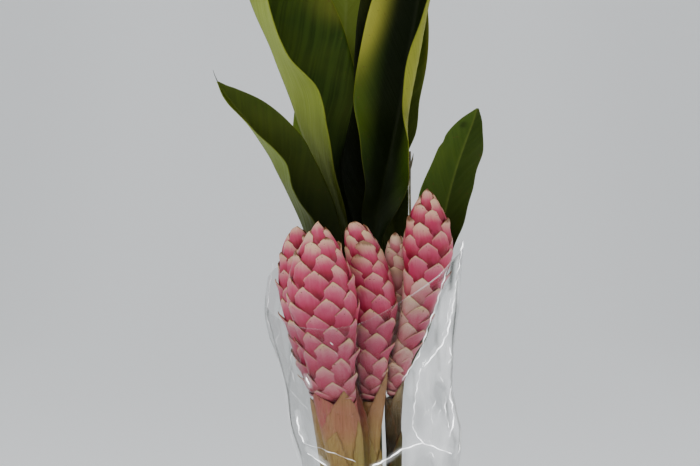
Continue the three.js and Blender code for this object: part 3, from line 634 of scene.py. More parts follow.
# Cones

BRACT_THICK = 0.8
FULL_AREA = 430  # of a large bract on the front cone, in square millimetres
FULL_HALF, LEAST_HALF = 18, 5.4  # half widths of bracts
TIP_LENGTH, LENGTH_GAIN, GROWN_DOWN = 34, 9, 60  # bracts grow longer until this far below the tip
CORE_INSET, CROWN_INSET, CROWN_TALL = 4.8, 1.2, 16  # of the plain bodies inside the bracts
NO_EDGE = 9.0  # the distance to an edge that has none near it


def cone_radius(cone, z):
    """The radius of a cone at a height."""
    down = np.clip(cone["tip"] - np.asarray(z, float), 0, None)
    above = cone["radius"] * (1 - (1 - np.minimum(down / cone["widest"], 1)) ** 2) ** cone["blunt"]
    s = np.clip((down - cone["widest"]) / (cone["length"] - cone["widest"]), 0, 1)
    below = cone["radius"] + (cone["base"] - cone["radius"]) * (s + cone["taper"] * s * (1 - s))
    return np.where(down < cone["widest"], above, below)


def add_bract(build, cone, axis, tip, angle, half, length, flare, skew, seed, tone, bud, corner):
    """One bract: a pointed shield whose root is tucked in and whose tip stands out."""
    rows, cols = 15, 13
    v = np.linspace(0, 1, rows)[:, None] ** 0.85
    u = np.linspace(-1, 1, cols)[None, :]
    share = np.clip(1 - 0.80 * half / length, 0.5, 0.72)
    s = np.clip((v - share) / (1 - share), 0, 1)
    shank = 0.80 + 0.20 * np.sin(v / share * math.pi / 2)
    width = np.maximum(half * np.where(v < share, shank, (1 - s ** corner) ** 0.92), 0.15)
    side = u * width
    z = tip - (1 - v) * length - 0.10 * np.abs(side) * (1 - v)
    z = np.minimum(z, cone["tip"] + 0.4)
    radius = cone_radius(cone, z)
    profile = -4.4 * (1 - blend(0, 0.42, v)) + 0.9 * blend(0.2, 0.62, v)
    profile = profile + flare * blend(0.6, 1.0, v) ** 1.3 - 0.5 * blend(0.92, 1, v)
    tuck = (1.9 - 1.0 * v) * (side / half) ** 2 * (half / 15) + 0.25 * np.abs(side / half)
    tuck = tuck + bud * (1.3 * (side / half) ** 2 - 0.9 * np.sin(math.pi * v))
    reach = np.maximum(radius + profile - tuck, 0.4)
    swing = angle + (side + skew * blend(0.25, 1.0, v)) / np.maximum(radius + 1.0, half * 0.62)
    centre = axis(z)
    outer = ring(centre, reach, swing, z)
    inner = ring(centre, np.maximum(reach - BRACT_THICK, 0.15), swing, z)
    edge = (1 - np.abs(u)) * width
    values = {"along": v, "across": side, "edge": edge, "seed": seed, "tone": tone, "bud": bud}
    build.sheet(outer, inner, values)


def add_core(build, cone, axis, heights, inset, least, values):
    """A plain round body inside the bracts, so that no gap between them is open."""
    radius = np.maximum(cone_radius(cone, heights) - inset, least)[:, None]
    build.tube(ring(axis(heights)[:, None, :], radius, circle(24), heights[:, None]), values)


def cone_object(name, cone):
    """The bracts of a cone, in a spiral from its tip down, over a closed core and crown."""
    axis = smooth(cone["axis"])
    top = cone["tip"]
    build = Build()
    # the core has no along, so it takes the ramp's darkest crimson: painted shade in the gaps between the
    # bracts
    plain = {"edge": NO_EDGE, "seed": 0.5}
    add_core(build, cone, axis, np.linspace(top - cone["length"], top - 5, 24), CORE_INSET, 0.6, plain)
    crown = top - CROWN_TALL * np.linspace(1, 0.02, 12) ** 1.5
    along = np.linspace(0.55, 0.98, 12)[:, None]
    add_core(build, cone, axis, crown, CROWN_INSET, 0.3, {**plain, "along": along, "bud": 1.0})
    pick = random.Random(len(name) * 31 + top)
    # painted light: the small cone is faded, and painted paler still against the shade it stands in between
    # the others
    fade_and_painted_light = 0.95 if name == "small_right" else 0.0
    down = 0.0
    i = 0
    while down < cone["length"] - 9:
        tip = top - down
        radius = float(cone_radius(cone, tip - 7))
        grown = min(down / GROWN_DOWN, 1)
        area = cone["area"] * (0.44 + 0.56 * grown)
        half = min(radius * 1.2 + 2.6, FULL_HALF * (area / FULL_AREA) ** 0.5)
        half = max(half, LEAST_HALF) * pick.uniform(0.88, 1.12)
        length = min(TIP_LENGTH + LENGTH_GAIN * grown, cone["length"] - down - 2)
        length = length * (cone["area"] / FULL_AREA) ** 0.3
        angle = cone["hand"] * GOLDEN_ANGLE * i + FRONT + pick.uniform(-0.08, 0.08)
        flare = pick.uniform(0.2, 1.5) + (pick.uniform(1.8, 4.6) if pick.random() < 0.3 and down > 16 else 0)
        skew = pick.uniform(-4.5, 0.5)
        corner = pick.uniform(0.98, 1.25) + 0.7 * float(1 - blend(8, 45, down))
        shift = pick.uniform(-1.6, 1.6) if down > 8 else 0
        bud = float(1 - blend(22, 66, down))
        tone = max(fade_and_painted_light, 0.3 * float(blend(115, 170, down)))
        if name == "tall_right":
            # pale on its lower left, where the photo's small cone stands, and deeper elsewhere
            faded = float(blend(0.5, -0.1, math.cos(angle)) * blend(440, 412, tip))
            tone = max(tone, 0.85 * faded) - 0.08
        add_bract(build, cone, axis, tip + shift, angle, half, length, flare, skew, pick.uniform(0, 50),
                  tone, bud, corner)
        down += min(area / (2 * math.pi * max(radius, 1)), 3.3) * pick.uniform(0.85, 1.15)
        i += 1
    return build.object("bracts_" + name, BRACT, "bracts", "cone_" + name)


# Stalks, with their overlapping sheaths

SHEATH_THICK = 0.7
UNDRESSED = {"edge": NO_EDGE, "sheet": 0.0}


def stem_rings(rows, levels, sides, wobble):
    """The rings of a stem through rows of height, x, y and radius, with a slight wobble."""
    heights = np.concatenate([[rows[0][0]], np.linspace(rows[1][0], rows[-1][0], levels)])[:, None]
    turn = circle(sides)
    place = smooth(rows)(heights)
    radius = place[..., 2] + wobble * np.sin(3 * turn + heights / 23) * np.sin(heights / 31)
    return ring(place, radius, turn, heights)


def thread(rows):
    """The rings of a thin thread through rows of height, x, y and radius."""
    rows = np.asarray(rows, float)[:, None, :]
    return ring(rows[..., 1:3], rows[..., 3], circle(6), rows[..., 0])


def add_sheath(build, rows, tip, angle, half_turn, length, lift, lean=0, point=1.5, rosy=0, green=0):
    """A leaf sheath wrapped round a stalk, with a pointed tip at the given direction."""
    v = np.linspace(0, 1, 26)[:, None]
    u = np.linspace(-1, 1, 35)[None, :]
    s = np.clip((v - 0.35) / 0.65, 0, 1)
    ragged = 1 + 0.035 * np.sin(v * 47 + tip) + 0.02 * np.sin(v * 113 + 2 * tip)
    spread = half_turn * np.maximum((1 - s ** point) ** 0.9 * ragged, 0.008)
    z = tip - (1 - v) * length
    place = smooth(rows)(np.clip(z, rows[0][0], rows[-1][0]))
    radius = place[..., 2] + lift * (0.35 + 0.65 * blend(0, 0.8, v)) + 0.25
    swing = angle + u * spread + lean * s
    fade = 0.7 if rosy < 0.8 else 0.0
    blush = rosy * blend(0.25, 0.6, v) * (1 - fade * blend(0.75, 1.0, v))
    values = {"edge": (1 - np.abs(u)) * spread * radius, "sheet": 1.0, "rosy": blush, "green": green}
    build.sheet(ring(place, radius, swing, z), ring(place, radius - SHEATH_THICK, swing, z), values)


def run_on(name):
    """The stalk's rows, carried on up over the foot of its cone."""
    cone = CONES[name]
    axis = smooth(cone["axis"])
    foot = cone["tip"] - cone["length"]
    rows = STALKS[name][:-1]
    for z in np.arange(foot, foot + 70, 10.0):
        x, y = axis(z)
        rows.append([z, float(x), float(y), float(cone_radius(cone, z))])
    return rows


def stalk_object(name):
    """A stalk with the sheaths of its table, or with plain ones."""
    rows = run_on(name)
    build = Build()
    build.tube(stem_rings(STALKS[name], 40, 28, 0.5), UNDRESSED)
    for tip, turn, *shape in SHEATHS.get(name, []):
        add_sheath(build, rows, tip, FRONT + turn, *shape)
    if name not in SHEATHS:
        for k, (down, turn, green) in enumerate(PLAIN_SHEATHS):
            lift = 1.3 + 0.6 * k
            add_sheath(build, rows, rows[-1][0] - down, FRONT + turn, 1.8, 62, lift, 0, 1.3, 0, green)
    dark = name in ("small_right", "tall_right")
    slot = "dark_sheath" if dark else "sheath"
    return build.object("sheathed_stalk_" + name, DARK_SHEATH if dark else SHEATH, slot, "stalk_" + name)


def shoot_object(name):
    """A leafy shoot, with a sheath on one side after the other."""
    rows = SHOOTS[name]
    build = Build()
    build.tube(stem_rings(rows, 40, 24, 0.3), UNDRESSED)
    for k, share in enumerate((0.95, 0.74, 0.52, 0.3)):
        tip = rows[1][0] + (rows[-1][0] - rows[1][0]) * share
        add_sheath(build, rows, tip, k * math.pi + 0.4, 2.0, 70, 0.9)
    return build.object("leafy_shoot_" + name, SHOOT, "shoot", "shoot_" + name)


def dry_stem_object():
    build = Build()
    build.tube(stem_rings(DRY_STEM, 60, 12, 0.15), {})
    build.tube(thread(DRY_SPLINTER), {})
    return build.object("withered_stem", DRY, "dry_stem", "dry_stem")


# Leaves

LEAF_SLANT = math.radians(33)  # of the side veins from the midrib
LEAF_ROWS, LEAF_HALF = 90, 16  # points along the leaf and across each half
LEAF_THICK, RIB_THICK = 0.7, 2.2
VEIN_GAP = 9.0
ACROSS = np.linspace(-1, 1, 2 * LEAF_HALF + 1)[None, :]
SHARE, HAND = np.abs(ACROSS), np.sign(ACROSS)  # from the midrib to a margin, and which half
# The dry tip of the far left leaf
FAR_TIP = [[612.2, -157.6, 45, 0.55], [618, -160.2, 44.5, 0.35], [624, -162.2, 44, 0.15]]


def leaf_surface(leaf):
    """A folded blade without ripples: points, normals, half width, distance up the midrib."""
    stations = leaf["stations"]
    at = smooth(stations)
    first, last = stations[0][0], stations[-1][0]
    z = np.linspace(first, last, LEAF_ROWS)
    x, y, width, facing, fold_left, fold_right = at(z).T
    step = at(np.minimum(z + 1, last)) - at(np.maximum(z - 1, first))
    along = unit(np.stack([step[:, 0], step[:, 1], np.full(LEAF_ROWS, 2.0)], 1))
    turn = np.radians(facing)
    face = np.stack([np.cos(turn), np.sin(turn), 0 * turn], 1)
    face = unit(face - along * (face * along).sum(1)[:, None])
    side = np.cross(along, face)[:, None, :]
    face = face[:, None, :]
    fold = np.radians(np.where(HAND < 0, fold_left[:, None], fold_right[:, None]))
    bend = smooth(leaf["curl"])(z) if "curl" in leaf else np.zeros((LEAF_ROWS, 1))
    bend = np.radians(np.where(HAND > 0, bend, 0.0)) + 1e-6
    slant = fold + bend * SHARE
    across = (np.sin(slant) - np.sin(fold)) / bend
    up = (np.cos(fold) - np.cos(slant)) / bend
    w = np.maximum(width, 0.6)[:, None]
    if "nick" in leaf:
        nick_z, nick_tall, nick_deep = leaf["nick"]
        w = w - np.where(HAND < 0, nick_deep * np.exp(-((z[:, None] - nick_z) / nick_tall) ** 2), 0)
    middle = np.stack([x, y, z], 1)
    points = middle[:, None, :] + side * (HAND * w * across)[..., None] + face * (w * up)[..., None]
    # the fold is rounded beside the midrib
    rounded = np.exp(-SHARE * w / 5.0) * SHARE * w * 0.10
    points = points - face * rounded[..., None]
    normal = face * np.cos(slant)[..., None] - side * (HAND * np.sin(slant))[..., None]
    normal = unit(np.where((SHARE < 1e-6)[..., None], face, normal))
    steps = np.linalg.norm(np.diff(middle, axis=0), axis=1)
    return points, normal, w, np.concatenate([[0], np.cumsum(steps)])[:, None]


def leaf_object(name):
    """A leaf with its ripples, its veins and a midrib that stands out below."""
    leaf = LEAVES[name]
    points, normal, w, arc = leaf_surface(leaf)
    t = np.linspace(0, 1, LEAF_ROWS)[:, None]
    size = np.minimum(w / 20, 1)
    ripple = np.sin(2 * math.pi * 3 * t + HAND) * SHARE ** 2
    ripple = ripple + 0.45 * np.sin(2 * math.pi * 7.3 * t + 2 * HAND + 1) * SHARE ** 4
    vein = arc * math.sin(LEAF_SLANT) - SHARE * w * math.cos(LEAF_SLANT)
    run = arc * math.cos(LEAF_SLANT) + SHARE * w * math.sin(LEAF_SLANT)
    pleat = 0.2 * np.sin(vein * 2 * math.pi / VEIN_GAP)
    pleat = pleat * blend(0.04, 0.3, SHARE) * (1 - blend(0.85, 1.0, SHARE))
    points = points + normal * ((ripple * leaf["wave"] + pleat) * size)[..., None]
    rib = RIB_THICK * (1 - 0.5 * t)
    thick = LEAF_THICK + (rib - LEAF_THICK) * np.exp(-(SHARE * w / 1.6) ** 2)
    z = points[..., 2]
    blot_x, blot_z, spread = LEAF_BLOT.get(name, (0.0, 0.0, 1.0))
    values = {
        "vein": vein, "run": run, "edge": (1 - SHARE) * w, "rib": np.exp(-(SHARE * w / 1.3) ** 2),
        "shade": LEAF_SHADE[name](z), "glow": LEAF_GLOW[name](z) if name in LEAF_GLOW else 0.0,
        "blot": 0.8 * np.exp(-((points[..., 0] - blot_x) ** 2 + (z - blot_z) ** 2) / spread ** 2),
        "lit": {"big_centre": blend(540, 600, z), "back_dark": 0.7}.get(name, 0.0),
        "lit_top": 0.85 if name == "back_pale" else 0.0,
    }
    build = Build()
    build.sheet(points, points - normal * thick[..., None], values)
    if name == "far_left":
        build.tube(thread(FAR_TIP), {"run": NO_EDGE, "edge": NO_EDGE, "shade": 1.0, "blot": 0.6})
    return build.object("blade_" + name, LEAF[leaf["look"]], "leaf", "leaf_" + name)


def rising(low, high, least):
    """Shade at the foot of a leaf that gives way to light between two heights."""
    return lambda z: least + (1 - least) * blend(low, high, z)


def lit_margin(start, low, high):
    """A little light along the right margin, above two heights."""
    return lambda z: np.where(HAND > 0, 0.3 * blend(start, 1.0, SHARE), 0) * blend(low, high, z)


def centre_shade(z):
    """The big centre leaf: black along its middle, green towards both margins lower down."""
    left = blend(0.30, 0.95, SHARE) * blend(490, 600, z)
    right = blend(0.12, 0.9, SHARE) * blend(462, 545, z) * (1 - 0.75 * blend(560, 600, z))
    lit = np.where(HAND < 0, left, np.where(HAND > 0, right, 0))
    lit = np.maximum(lit, 0.9 * blend(700, 800, z))
    return np.maximum(lit, 0.06)


def centre_glow(z):
    """Light that falls on the left half of the big centre leaf, wider towards the top."""
    start = 0.46 - 0.21 * blend(625, 690, z)
    return np.where(HAND < 0, blend(start, start + 0.56, SHARE), 0) * blend(590, 672, z)


def right_shade(z):
    """The right leaf: its right half lies in shade."""
    full = 0.35 + 0.65 * blend(400, 540, z)
    return np.maximum(full * np.where(HAND > 0, 0.5, 1.0), 0.9 * blend(400, 360, z))


LEAF_SHADE = {
    "far_left": rising(450, 600, 0.18),
    "big_left": rising(470, 640, 0.10),
    "back_pale": rising(600, 668, 0.12),
    "back_dark": rising(500, 900, 0.1),
    "big_centre": centre_shade,
    "back_right": rising(440, 610, 0.35),
    "right": right_shade,
    "rear_left": rising(400, 560, 0.4),
    "rear_right": rising(400, 560, 0.4),
}
LEAF_GLOW = {
    "big_centre": centre_glow,
    "back_right": lit_margin(0.8, 600, 650),
    "big_left": lit_margin(0.5, 665, 690),
}
LEAF_BLOT = {
    "right": (94.0, 568.0, 3.2),  # x, height and size of a dark spot
}


# Film sleeve: creases seen from the front, as pixels of the picture

CREASES = [
    # the line, how bright its painted highlight is, and its half width in mm
    ([(463, 241), (458, 272), (453, 306), (447, 335), (441, 346), (424, 367)], 1.0, 0.5),
    ([(421, 368), (416, 392), (412.5, 425)], 0.65, 0.35),
    ([(412.5, 426), (417, 436), (423, 443), (437, 448), (452, 454)], 0.9, 0.4),
    ([(423, 443), (409, 447), (399, 451), (388, 459), (372, 466)], 1.0, 0.5),
    ([(449.5, 347), (452, 357), (448.5, 364)], 0.9, 0.5),
    ([(452, 386), (449.5, 394), (452, 404), (454, 421), (449.5, 437)], 0.9, 0.5),
    ([(446, 396), (445, 410), (449, 428)], 0.6, 0.4),
    ([(297, 416), (299, 432), (304, 443)], 1.0, 0.6),
    ([(306, 377), (310, 386)], 0.8, 0.5),
    ([(307, 453), (316, 459), (327, 466)], 0.9, 0.4),
    ([(447.5, 268), (436.5, 304), (430, 322), (419, 355), (402, 381)], 0.55, 0.45),
    ([(284, 372), (290, 390), (308, 410)], 0.3, 0.3),
    ([(273, 262), (268, 300), (267, 318), (276, 350), (284, 381)], 0.3, 0.35),
    ([(284, 381), (288, 410), (292, 440), (301, 465)], 0.3, 0.35),
    ([(303, 443), (322, 449), (341, 456), (356, 462)], 0.4, 0.3),
    ([(330, 342), (333, 345)], 0.5, 0.35),
    ([(335, 352), (338, 357)], 0.3, 0.3),
    ([(426, 456), (431, 452), (434, 458)], 0.6, 0.35),
    ([(440, 376), (443, 382)], 0.6, 0.35),
    ([(436, 400), (431, 412), (433, 424)], 0.45, 0.3),
    ([(441, 409), (438, 418)], 0.5, 0.35),
    ([(449, 404), (452, 398)], 0.6, 0.35),
    ([(420, 388), (426, 404), (424, 418)], 0.3, 0.25),
    ([(451, 298), (447, 322), (442, 336)], 0.5, 0.35),
    ([(458, 432), (460, 446), (456, 462)], 0.6, 0.35),
    ([(280, 330), (276, 342), (282, 356)], 0.3, 0.3),
    ([(292, 352), (290, 368), (295, 382)], 0.35, 0.3),
]
# painted shade where the film folds away: the line, how dark it is, and its width in mm
PAINTED_FOLD_SHADE = [
    ([(464, 242), (459, 285), (457, 330), (455, 362)], 0.8, 0.9),
    ([(455, 362), (454, 395), (463, 432), (461, 452)], 0.6, 0.8),
    ([(462, 250), (455, 262), (452, 290)], 0.7, 1.8),
    ([(271, 262), (266, 300), (266, 318)], 0.5, 0.8),
    ([(266, 318), (284, 381), (289, 430), (300, 460)], 0.4, 0.8),
    ([(414, 372), (414, 400)], 0.35, 1.5),
    ([(289, 345), (290, 372), (287, 398)], 0.25, 1.2),
    ([(440, 300), (438, 340), (441, 372)], 0.3, 2.0),
    ([(447, 405), (449, 425), (457, 445)], 0.3, 2.0),
]
CAMERA = (-22.0, -2000.0, 457.0)
PICTURE_CENTRE = (350, 233)
REACH = 2000.0  # from the camera to where one pixel is one millimetre
FILM_FRONT = -70.0
FILM_FOOT, FILM_THICK = 2.6, 0.3
FILM_RADIUS = 80.0  # for the size of the crumples
RIDGE = 0.15  # how far a crease stands out


def from_pixel(px, py, depth):
    """The x and the height that a pixel of the picture shows at a depth."""
    scale = (depth - CAMERA[1]) / REACH
    return CAMERA[0] + (px - PICTURE_CENTRE[0]) * scale, CAMERA[2] + (PICTURE_CENTRE[1] - py) * scale


def distance_to(line, x, z):
    """How far points are from a line of pixels, as seen from the front."""
    best = np.full(x.shape, 1e9)
    points = [from_pixel(px, py, FILM_FRONT) for px, py in line]
    for (ax, az), (bx, bz) in zip(points, points[1:]):
        dx, dz = bx - ax, bz - az
        s = np.clip(((x - ax) * dx + (z - az) * dz) / (dx * dx + dz * dz), 0, 1)
        best = np.minimum(best, np.hypot(x - ax - s * dx, z - az - s * dz))
    return best


def crease_line(line, k):
    """Pixels along a slightly wavy crease, how far along it they are, and how near to full width."""
    line = np.asarray(line, float)
    along = np.concatenate([[0], np.cumsum(np.hypot(*np.diff(line, axis=0).T))])
    s = np.linspace(0, along[-1], max(int(along[-1] / 1.5), 4))
    ease = np.minimum(1, np.minimum(s, along[-1] - s) / 5)
    px = np.interp(s, along, line[:, 0]) + 0.5 * ease * np.sin(s * 0.55 + 2 * k)
    py = np.interp(s, along, line[:, 1]) + 0.4 * ease * np.sin(s * 0.37 + 3 * k)
    return px, py, s, ease


def on_film(px, py, surface, seen):
    """The place just in front of the film that a pixel shows."""
    far = (seen[:, 0] - px) ** 2 + (seen[:, 1] - py) ** 2
    near = np.argsort(far)[:5]
    weight = 1 / (far[near] + 0.05)
    depth = float((surface[near, 1] * weight).sum() / weight.sum()) - 0.2
    x, z = from_pixel(px, py, depth)
    return x, depth, z


def crease_object(surface):
    """The sharpest creases, as fine raised ridges that lie on the front of the film, with painted highlights
    that glow white.
    """
    scale = (surface[:, 1] - CAMERA[1]) / REACH
    seen_x = PICTURE_CENTRE[0] + (surface[:, 0] - CAMERA[0]) / scale
    seen_y = PICTURE_CENTRE[1] - (surface[:, 2] - CAMERA[2]) / scale
    seen = np.stack([seen_x, seen_y], 1)
    front = np.array([0.0, -1.0, 0.0])
    turn = circle(6)
    build = Build()
    for k, (line, strength, wide) in enumerate(CREASES):
        px, py, s, ease = crease_line(line, k)
        points = np.array([on_film(a, b, surface, seen) for a, b in zip(px, py)])
        ahead = np.gradient(points, axis=0)
        ahead[:, 1] = 0
        aside = np.cross(unit(ahead), front)
        half = 1.35 * wide * (0.3 + 0.7 * np.sqrt(ease)) * (0.75 + 0.25 * np.sin(s * 0.23 + k))
        half[[0, -1]] = 0.06
        rings = points[:, None, :] + RIDGE * np.cos(turn)[None, :, None] * front
        rings = rings + (half[:, None] * np.sin(turn))[..., None] * aside[:, None, :]
        bright = strength * (0.72 + 0.28 * np.sin(s * 0.31 + 1.7 * k))
        build.tube(rings, {"crease": bright[:, None]})
    return build.object("film_crease_glints", FILM_CLEAR, "clear_film")


def crumple_cells(z, turn):
    """How far the film's points are from the middle of their crumple, and from the next one."""
    middle, border = np.zeros(z.shape), np.zeros(z.shape)
    for i, j in np.ndindex(z.shape):
        x, y = FILM_RADIUS * math.cos(turn[0, j]), FILM_RADIUS * math.sin(turn[0, j])
        spot = Vector((x / 26, y / 26, z[i, j] / 40))
        cell = noise.voronoi(spot, distance_metric="DISTANCE", exponent=2.5)[0]
        middle[i, j] = cell[0]
        border[i, j] = cell[1] - cell[0]
    return middle, border


def film_object():
    """The sleeve: taut round the pot, and loose, wrinkled and crumpled above it."""
    rows, cols = 150, 300
    direction = np.linspace(-180, 180, cols + 1)[:-1]
    edge = smooth(FILM_EDGE)(direction)[:, 0]
    z = FILM_FOOT + (edge - FILM_FOOT) * np.linspace(0, 1, rows)[:, None]
    place = smooth(FILM)(z)
    turn = np.radians(direction)[None, :]
    loose = blend(150, 240, z)
    wrinkle = 2.4 * np.clip((z - 150) / 90, 0, 1) * np.sin(7 * turn + z / 60) * np.cos(3 * turn - z / 45)
    x = place[..., 0] + (place[..., 2] + wrinkle) * np.cos(turn)
    in_front = np.broadcast_to(np.sin(turn) < 0.1, z.shape)
    crumple, border = crumple_cells(z, turn)
    fold = np.exp(-(border / 0.05) ** 2)
    relief = loose * (1.8 * (crumple - 0.45) + 0.4 * fold)
    # painted highlights: white lines along the creases and the rim
    crease = 0.014 * fold * loose
    for line, strength, _ in CREASES:
        near = np.where(in_front, np.exp(-(distance_to(line, x, z) / 2.6) ** 2), 0)
        relief = relief + 1.2 * strength * near
        crease = np.maximum(crease, 0.13 * strength * near * blend(0.35, 0.8, strength))
    crease = np.maximum(crease, np.exp(-(edge - z) ** 2) * (0.03 + 0.12 * blend(24, 60, x)))
    # painted shade: grey where the film folds away, at its left side and over the cones
    over_cones = in_front * blend(285, 310, z) * blend(66, 52, np.abs(x))
    dark = 0.02 * np.exp(-((border - 0.12) / 0.05) ** 2) * loose
    for line, strength, wide in PAINTED_FOLD_SHADE:
        near = strength * np.exp(-(distance_to(line, x, z) / wide) ** 2)
        dark = np.maximum(dark, np.where(in_front, near, 0))
    dark = np.maximum(dark, 0.06 * np.maximum(blend(-52, -66, x) * loose, over_cones))
    # painted reflections: white patches on the front right, beside the stalks
    sheen_patch = blend(0.2, 0.75, 0.5 + 0.5 * np.sin(z / 15 + 4 * turn) * np.sin(z / 31 - 6 * turn + 1))
    beside = blend(-2, 8, x - np.maximum(31, 31 + 0.44 * (z - 309))) * blend(-0.12, -0.4, np.sin(turn))
    # painted sheen: a white veil from the patches, and a thin one over the cones
    haze = (0.015 + 0.17 * sheen_patch) * beside * loose + 0.014 * over_cones
    out = wrinkle + relief - FILM_THICK

    def grid(inset):
        return ring(place, place[..., 2] + out - inset, turn, z, place[..., 3] + out - inset)

    build = Build()
    build.sheet(grid(0), grid(FILM_THICK), {"crease": crease, "haze": haze, "fold": dark}, wrap=True)
    film = build.object("crumpled_film", FILM_CLEAR, "clear_film", "film_sleeve")
    crease_object(grid(0)[:, np.sin(turn[0]) < 0.15].reshape(-1, 3))
    return film


# Pot and soil


POT_PROFILE = [
    (2, 0.6), (28, 0.6), (46, 0.6), (48.5, 0), (51.2, 0), (52.3, 0.9), (52.9, 2.4), (57.3, 32), (57.5, 33.2),
    (58.1, 33.9), (64.0, 74), (64.2, 75.2), (64.8, 75.9), (70.6, 118), (70.8, 121.4), (71.6, 122.0),
    (73.9, 122.1), (74.6, 122.6), (74.9, 123.6), (74.9, 136.6), (74.9, 138.6), (74.5, 139.6), (73.9, 140),
    (73.3, 139.7), (73.1, 139), (73.1, 124.4), (72.4, 123.7), (69.4, 123.4), (69.0, 121.6), (51.0, 4.0),
    (49.6, 3.0), (30, 3.0), (2, 3.0),
]
DRAIN_HOLES, DRAIN_RADIUS, DRAIN_CIRCLE = 6, 4.5, 34
CRUMBS, SOIL_TOP = 240, 126.2


def pot_object():
    """A turned pot with a band under its rim, and drain holes through its floor."""
    profile = np.asarray(POT_PROFILE)
    build = Build()
    build.tube(ring(np.zeros(2), profile[:, :1], circle(120), profile[:, 1:]), {})
    pot = build.object("moulded_pot", POT, "pot_plastic", "pot")
    drill = Build()
    for turn in circle(DRAIN_HOLES):
        centre = DRAIN_CIRCLE * np.array([math.cos(turn), math.sin(turn)])
        drill.tube(ring(centre, DRAIN_RADIUS, circle(24), np.array([[-3.0], [6.0]])), {})
    tool = add_object("drill", drill.mesh("drill"))
    cut = pot.modifiers.new("holes", "BOOLEAN")
    cut.operation, cut.solver, cut.object = "DIFFERENCE", "EXACT", tool
    bpy.context.view_layer.update()
    graph = bpy.context.evaluated_depsgraph_get()
    pot.data = bpy.data.meshes.new_from_object(pot.evaluated_get(graph))
    pot.modifiers.clear()
    bpy.data.objects.remove(tool)
    return pot


def crumb_object():
    """Bark crumbs strewn over the soil, clear of the stems."""
    build = Build()
    pick = random.Random(3)
    turn = circle(7)
    level = np.array([-1.0, -0.6, 0.0, 0.6, 1.0])[:, None]
    stems = [rows[0][1:4] for rows in [*STALKS.values(), *SHOOTS.values(), DRY_STEM]]
    placed = 0
    while placed < CRUMBS:
        distance, angle = 66 * math.sqrt(pick.random()), pick.uniform(0, 2 * math.pi)
        x, y = distance * math.cos(angle), distance * math.sin(angle)
        size = pick.uniform(1.2, 3.6)
        if any(math.hypot(x - sx, y - sy) < radius + size + 0.5 for sx, sy, radius in stems):
            continue
        spin = pick.uniform(0, math.pi)
        deep, tall = size * pick.uniform(0.5, 1), size * pick.uniform(0.35, 0.6)
        reach = np.sqrt(np.maximum(1 - level * level, 0.02)) * (1 + 0.12 * np.sin(3 * turn + spin))
        px, py = size * reach * np.cos(turn), deep * reach * np.sin(turn)
        turned_x = x + px * math.cos(spin) - py * math.sin(spin)
        turned_y = y + px * math.sin(spin) + py * math.cos(spin)
        z = SOIL_TOP + 1.4 * math.sin(x * 0.31 + 1.3) * math.cos(y * 0.27) + tall * level
        build.tube(np.stack(np.broadcast_arrays(turned_x, turned_y, z), -1), {})
        placed += 1
    return build.object("soil_crumbs", CRUMB, "soil")


BRACT = bract_material()
LEAF = {look: leaf_material(look) for look in LOOKS}
SHEATH = sheath_material("sheath", linear(164, 127, 82), linear(162, 132, 76), linear(146, 128, 66),
                         linear(126, 84, 48), 215, 285)
DARK_SHEATH = sheath_material("dark_sheath", linear(146, 126, 92), linear(82, 68, 45), linear(46, 40, 26),
                              linear(28, 20, 11), 240, 305, 0.1)
SHOOT = sheath_material("shoot", linear(84, 100, 40), linear(112, 122, 60), linear(126, 116, 74),
                        linear(70, 80, 34), 120, 400)
FILM_CLEAR = film_material()
POT = pot_material()
SOIL = soil_material()
CRUMB = crumb_material()
DRY = dry_material()

for name, cone in CONES.items():
    cone_object(name, cone)
for name in STALKS:
    stalk_object(name)
for name in SHOOTS:
    shoot_object(name)
for name in LEAVES:
    leaf_object(name)
film_object()
crumb_object()
dry_stem_object()
pot_object()
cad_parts["soil"].material_slots[0].material = SOIL

# Stage, camera and light, in metres


FLOOR_REACH, WALL_BEND, WALL_TOP = 6.0, 3.0, 9.0
FLOOR_DROP = 0.0005  # from the pot's base to the floor


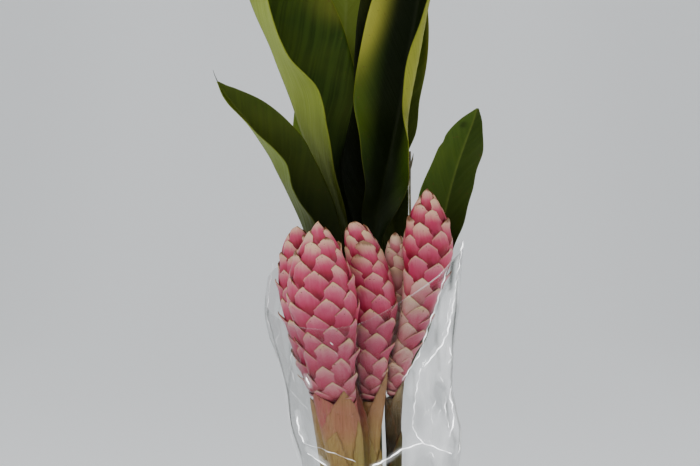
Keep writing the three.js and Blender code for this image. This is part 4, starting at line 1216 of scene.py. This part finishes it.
def backdrop():
    """A round floor that curves up into a wall."""
    sides = 96
    turn = np.linspace(0.1, math.pi / 2, 14)
    bend = np.stack([FLOOR_REACH + WALL_BEND * np.sin(turn), WALL_BEND - WALL_BEND * np.cos(turn)], 1)
    wall = FLOOR_REACH + WALL_BEND
    profile = np.array([(0.0, 0.0), (FLOOR_REACH, 0.0), *bend, (wall, WALL_TOP)])
    points = ring(np.zeros(2), profile[:, :1], circle(sides), profile[:, 1:] - FLOOR_DROP)
    faces = quads_between(len(profile), sides, True)
    mesh = bpy.data.meshes.new("backdrop")
    mesh.from_pydata(points.reshape(-1, 3).tolist(), [], faces.tolist())
    mesh.polygons.foreach_set("use_smooth", [True] * len(mesh.polygons))
    n = Nodes("pale_floor")
    n.colour(linear(206, 208, 210))
    n.rough(0.9)
    n.set("Emission Color", (0.93, 0.95, 0.96, 1))
    # painted light: the backdrop glows, a little brighter in a wide band behind the plant than to the sides
    off = n.math("ABSOLUTE", n.plus(n.coordinate(0), 0.1))
    n.set("Emission Strength", n.range(off, 0.9, 1.7, 0.40, 0.335))
    mesh.materials.append(n.material)
    add_object("backdrop", mesh)


def lamp(name, place, aim, width, height, power):
    """A rectangular light at a place, turned to its aim; its power is in watts."""
    data = bpy.data.lights.new(name, "AREA")
    data.shape = "RECTANGLE"
    data.size, data.size_y = width, height
    data.energy = power
    made = add_object(name, data)
    made.location = place
    made.rotation_euler = (Vector(aim) - Vector(place)).to_track_quat("-Z", "Y").to_euler()


backdrop()
lamp("top", (-1.0, -1.0, 3.2), (0, 0, 0.4), 2.4, 2.4, 54)
lamp("left", (-2.6, -2.2, 1.6), (0, 0, 0.5), 1.4, 2.0, 16)
lamp("right", (2.4, -0.5, 1.3), (0, 0, 0.35), 0.12, 1.6, 12)

camera = add_object("camera", bpy.data.cameras.new("camera"))
camera.data.sensor_width = 36
camera.data.lens = 36 * 2.0 / 0.7  # 0.7 m wide at a distance of 2 m
camera.location = [c * MM for c in CAMERA]
camera.rotation_euler = (math.radians(90), 0, 0)
camera.data.clip_end = 60
bpy.context.scene.camera = camera

SKY, SKY_STRENGTH = (0.80, 0.82, 0.84, 1), 0.55
world = bpy.data.worlds.new("pale")
world.use_nodes = True
background = world.node_tree.nodes["Background"]
background.inputs["Color"].default_value = SKY
background.inputs["Strength"].default_value = SKY_STRENGTH
bpy.context.scene.world = world
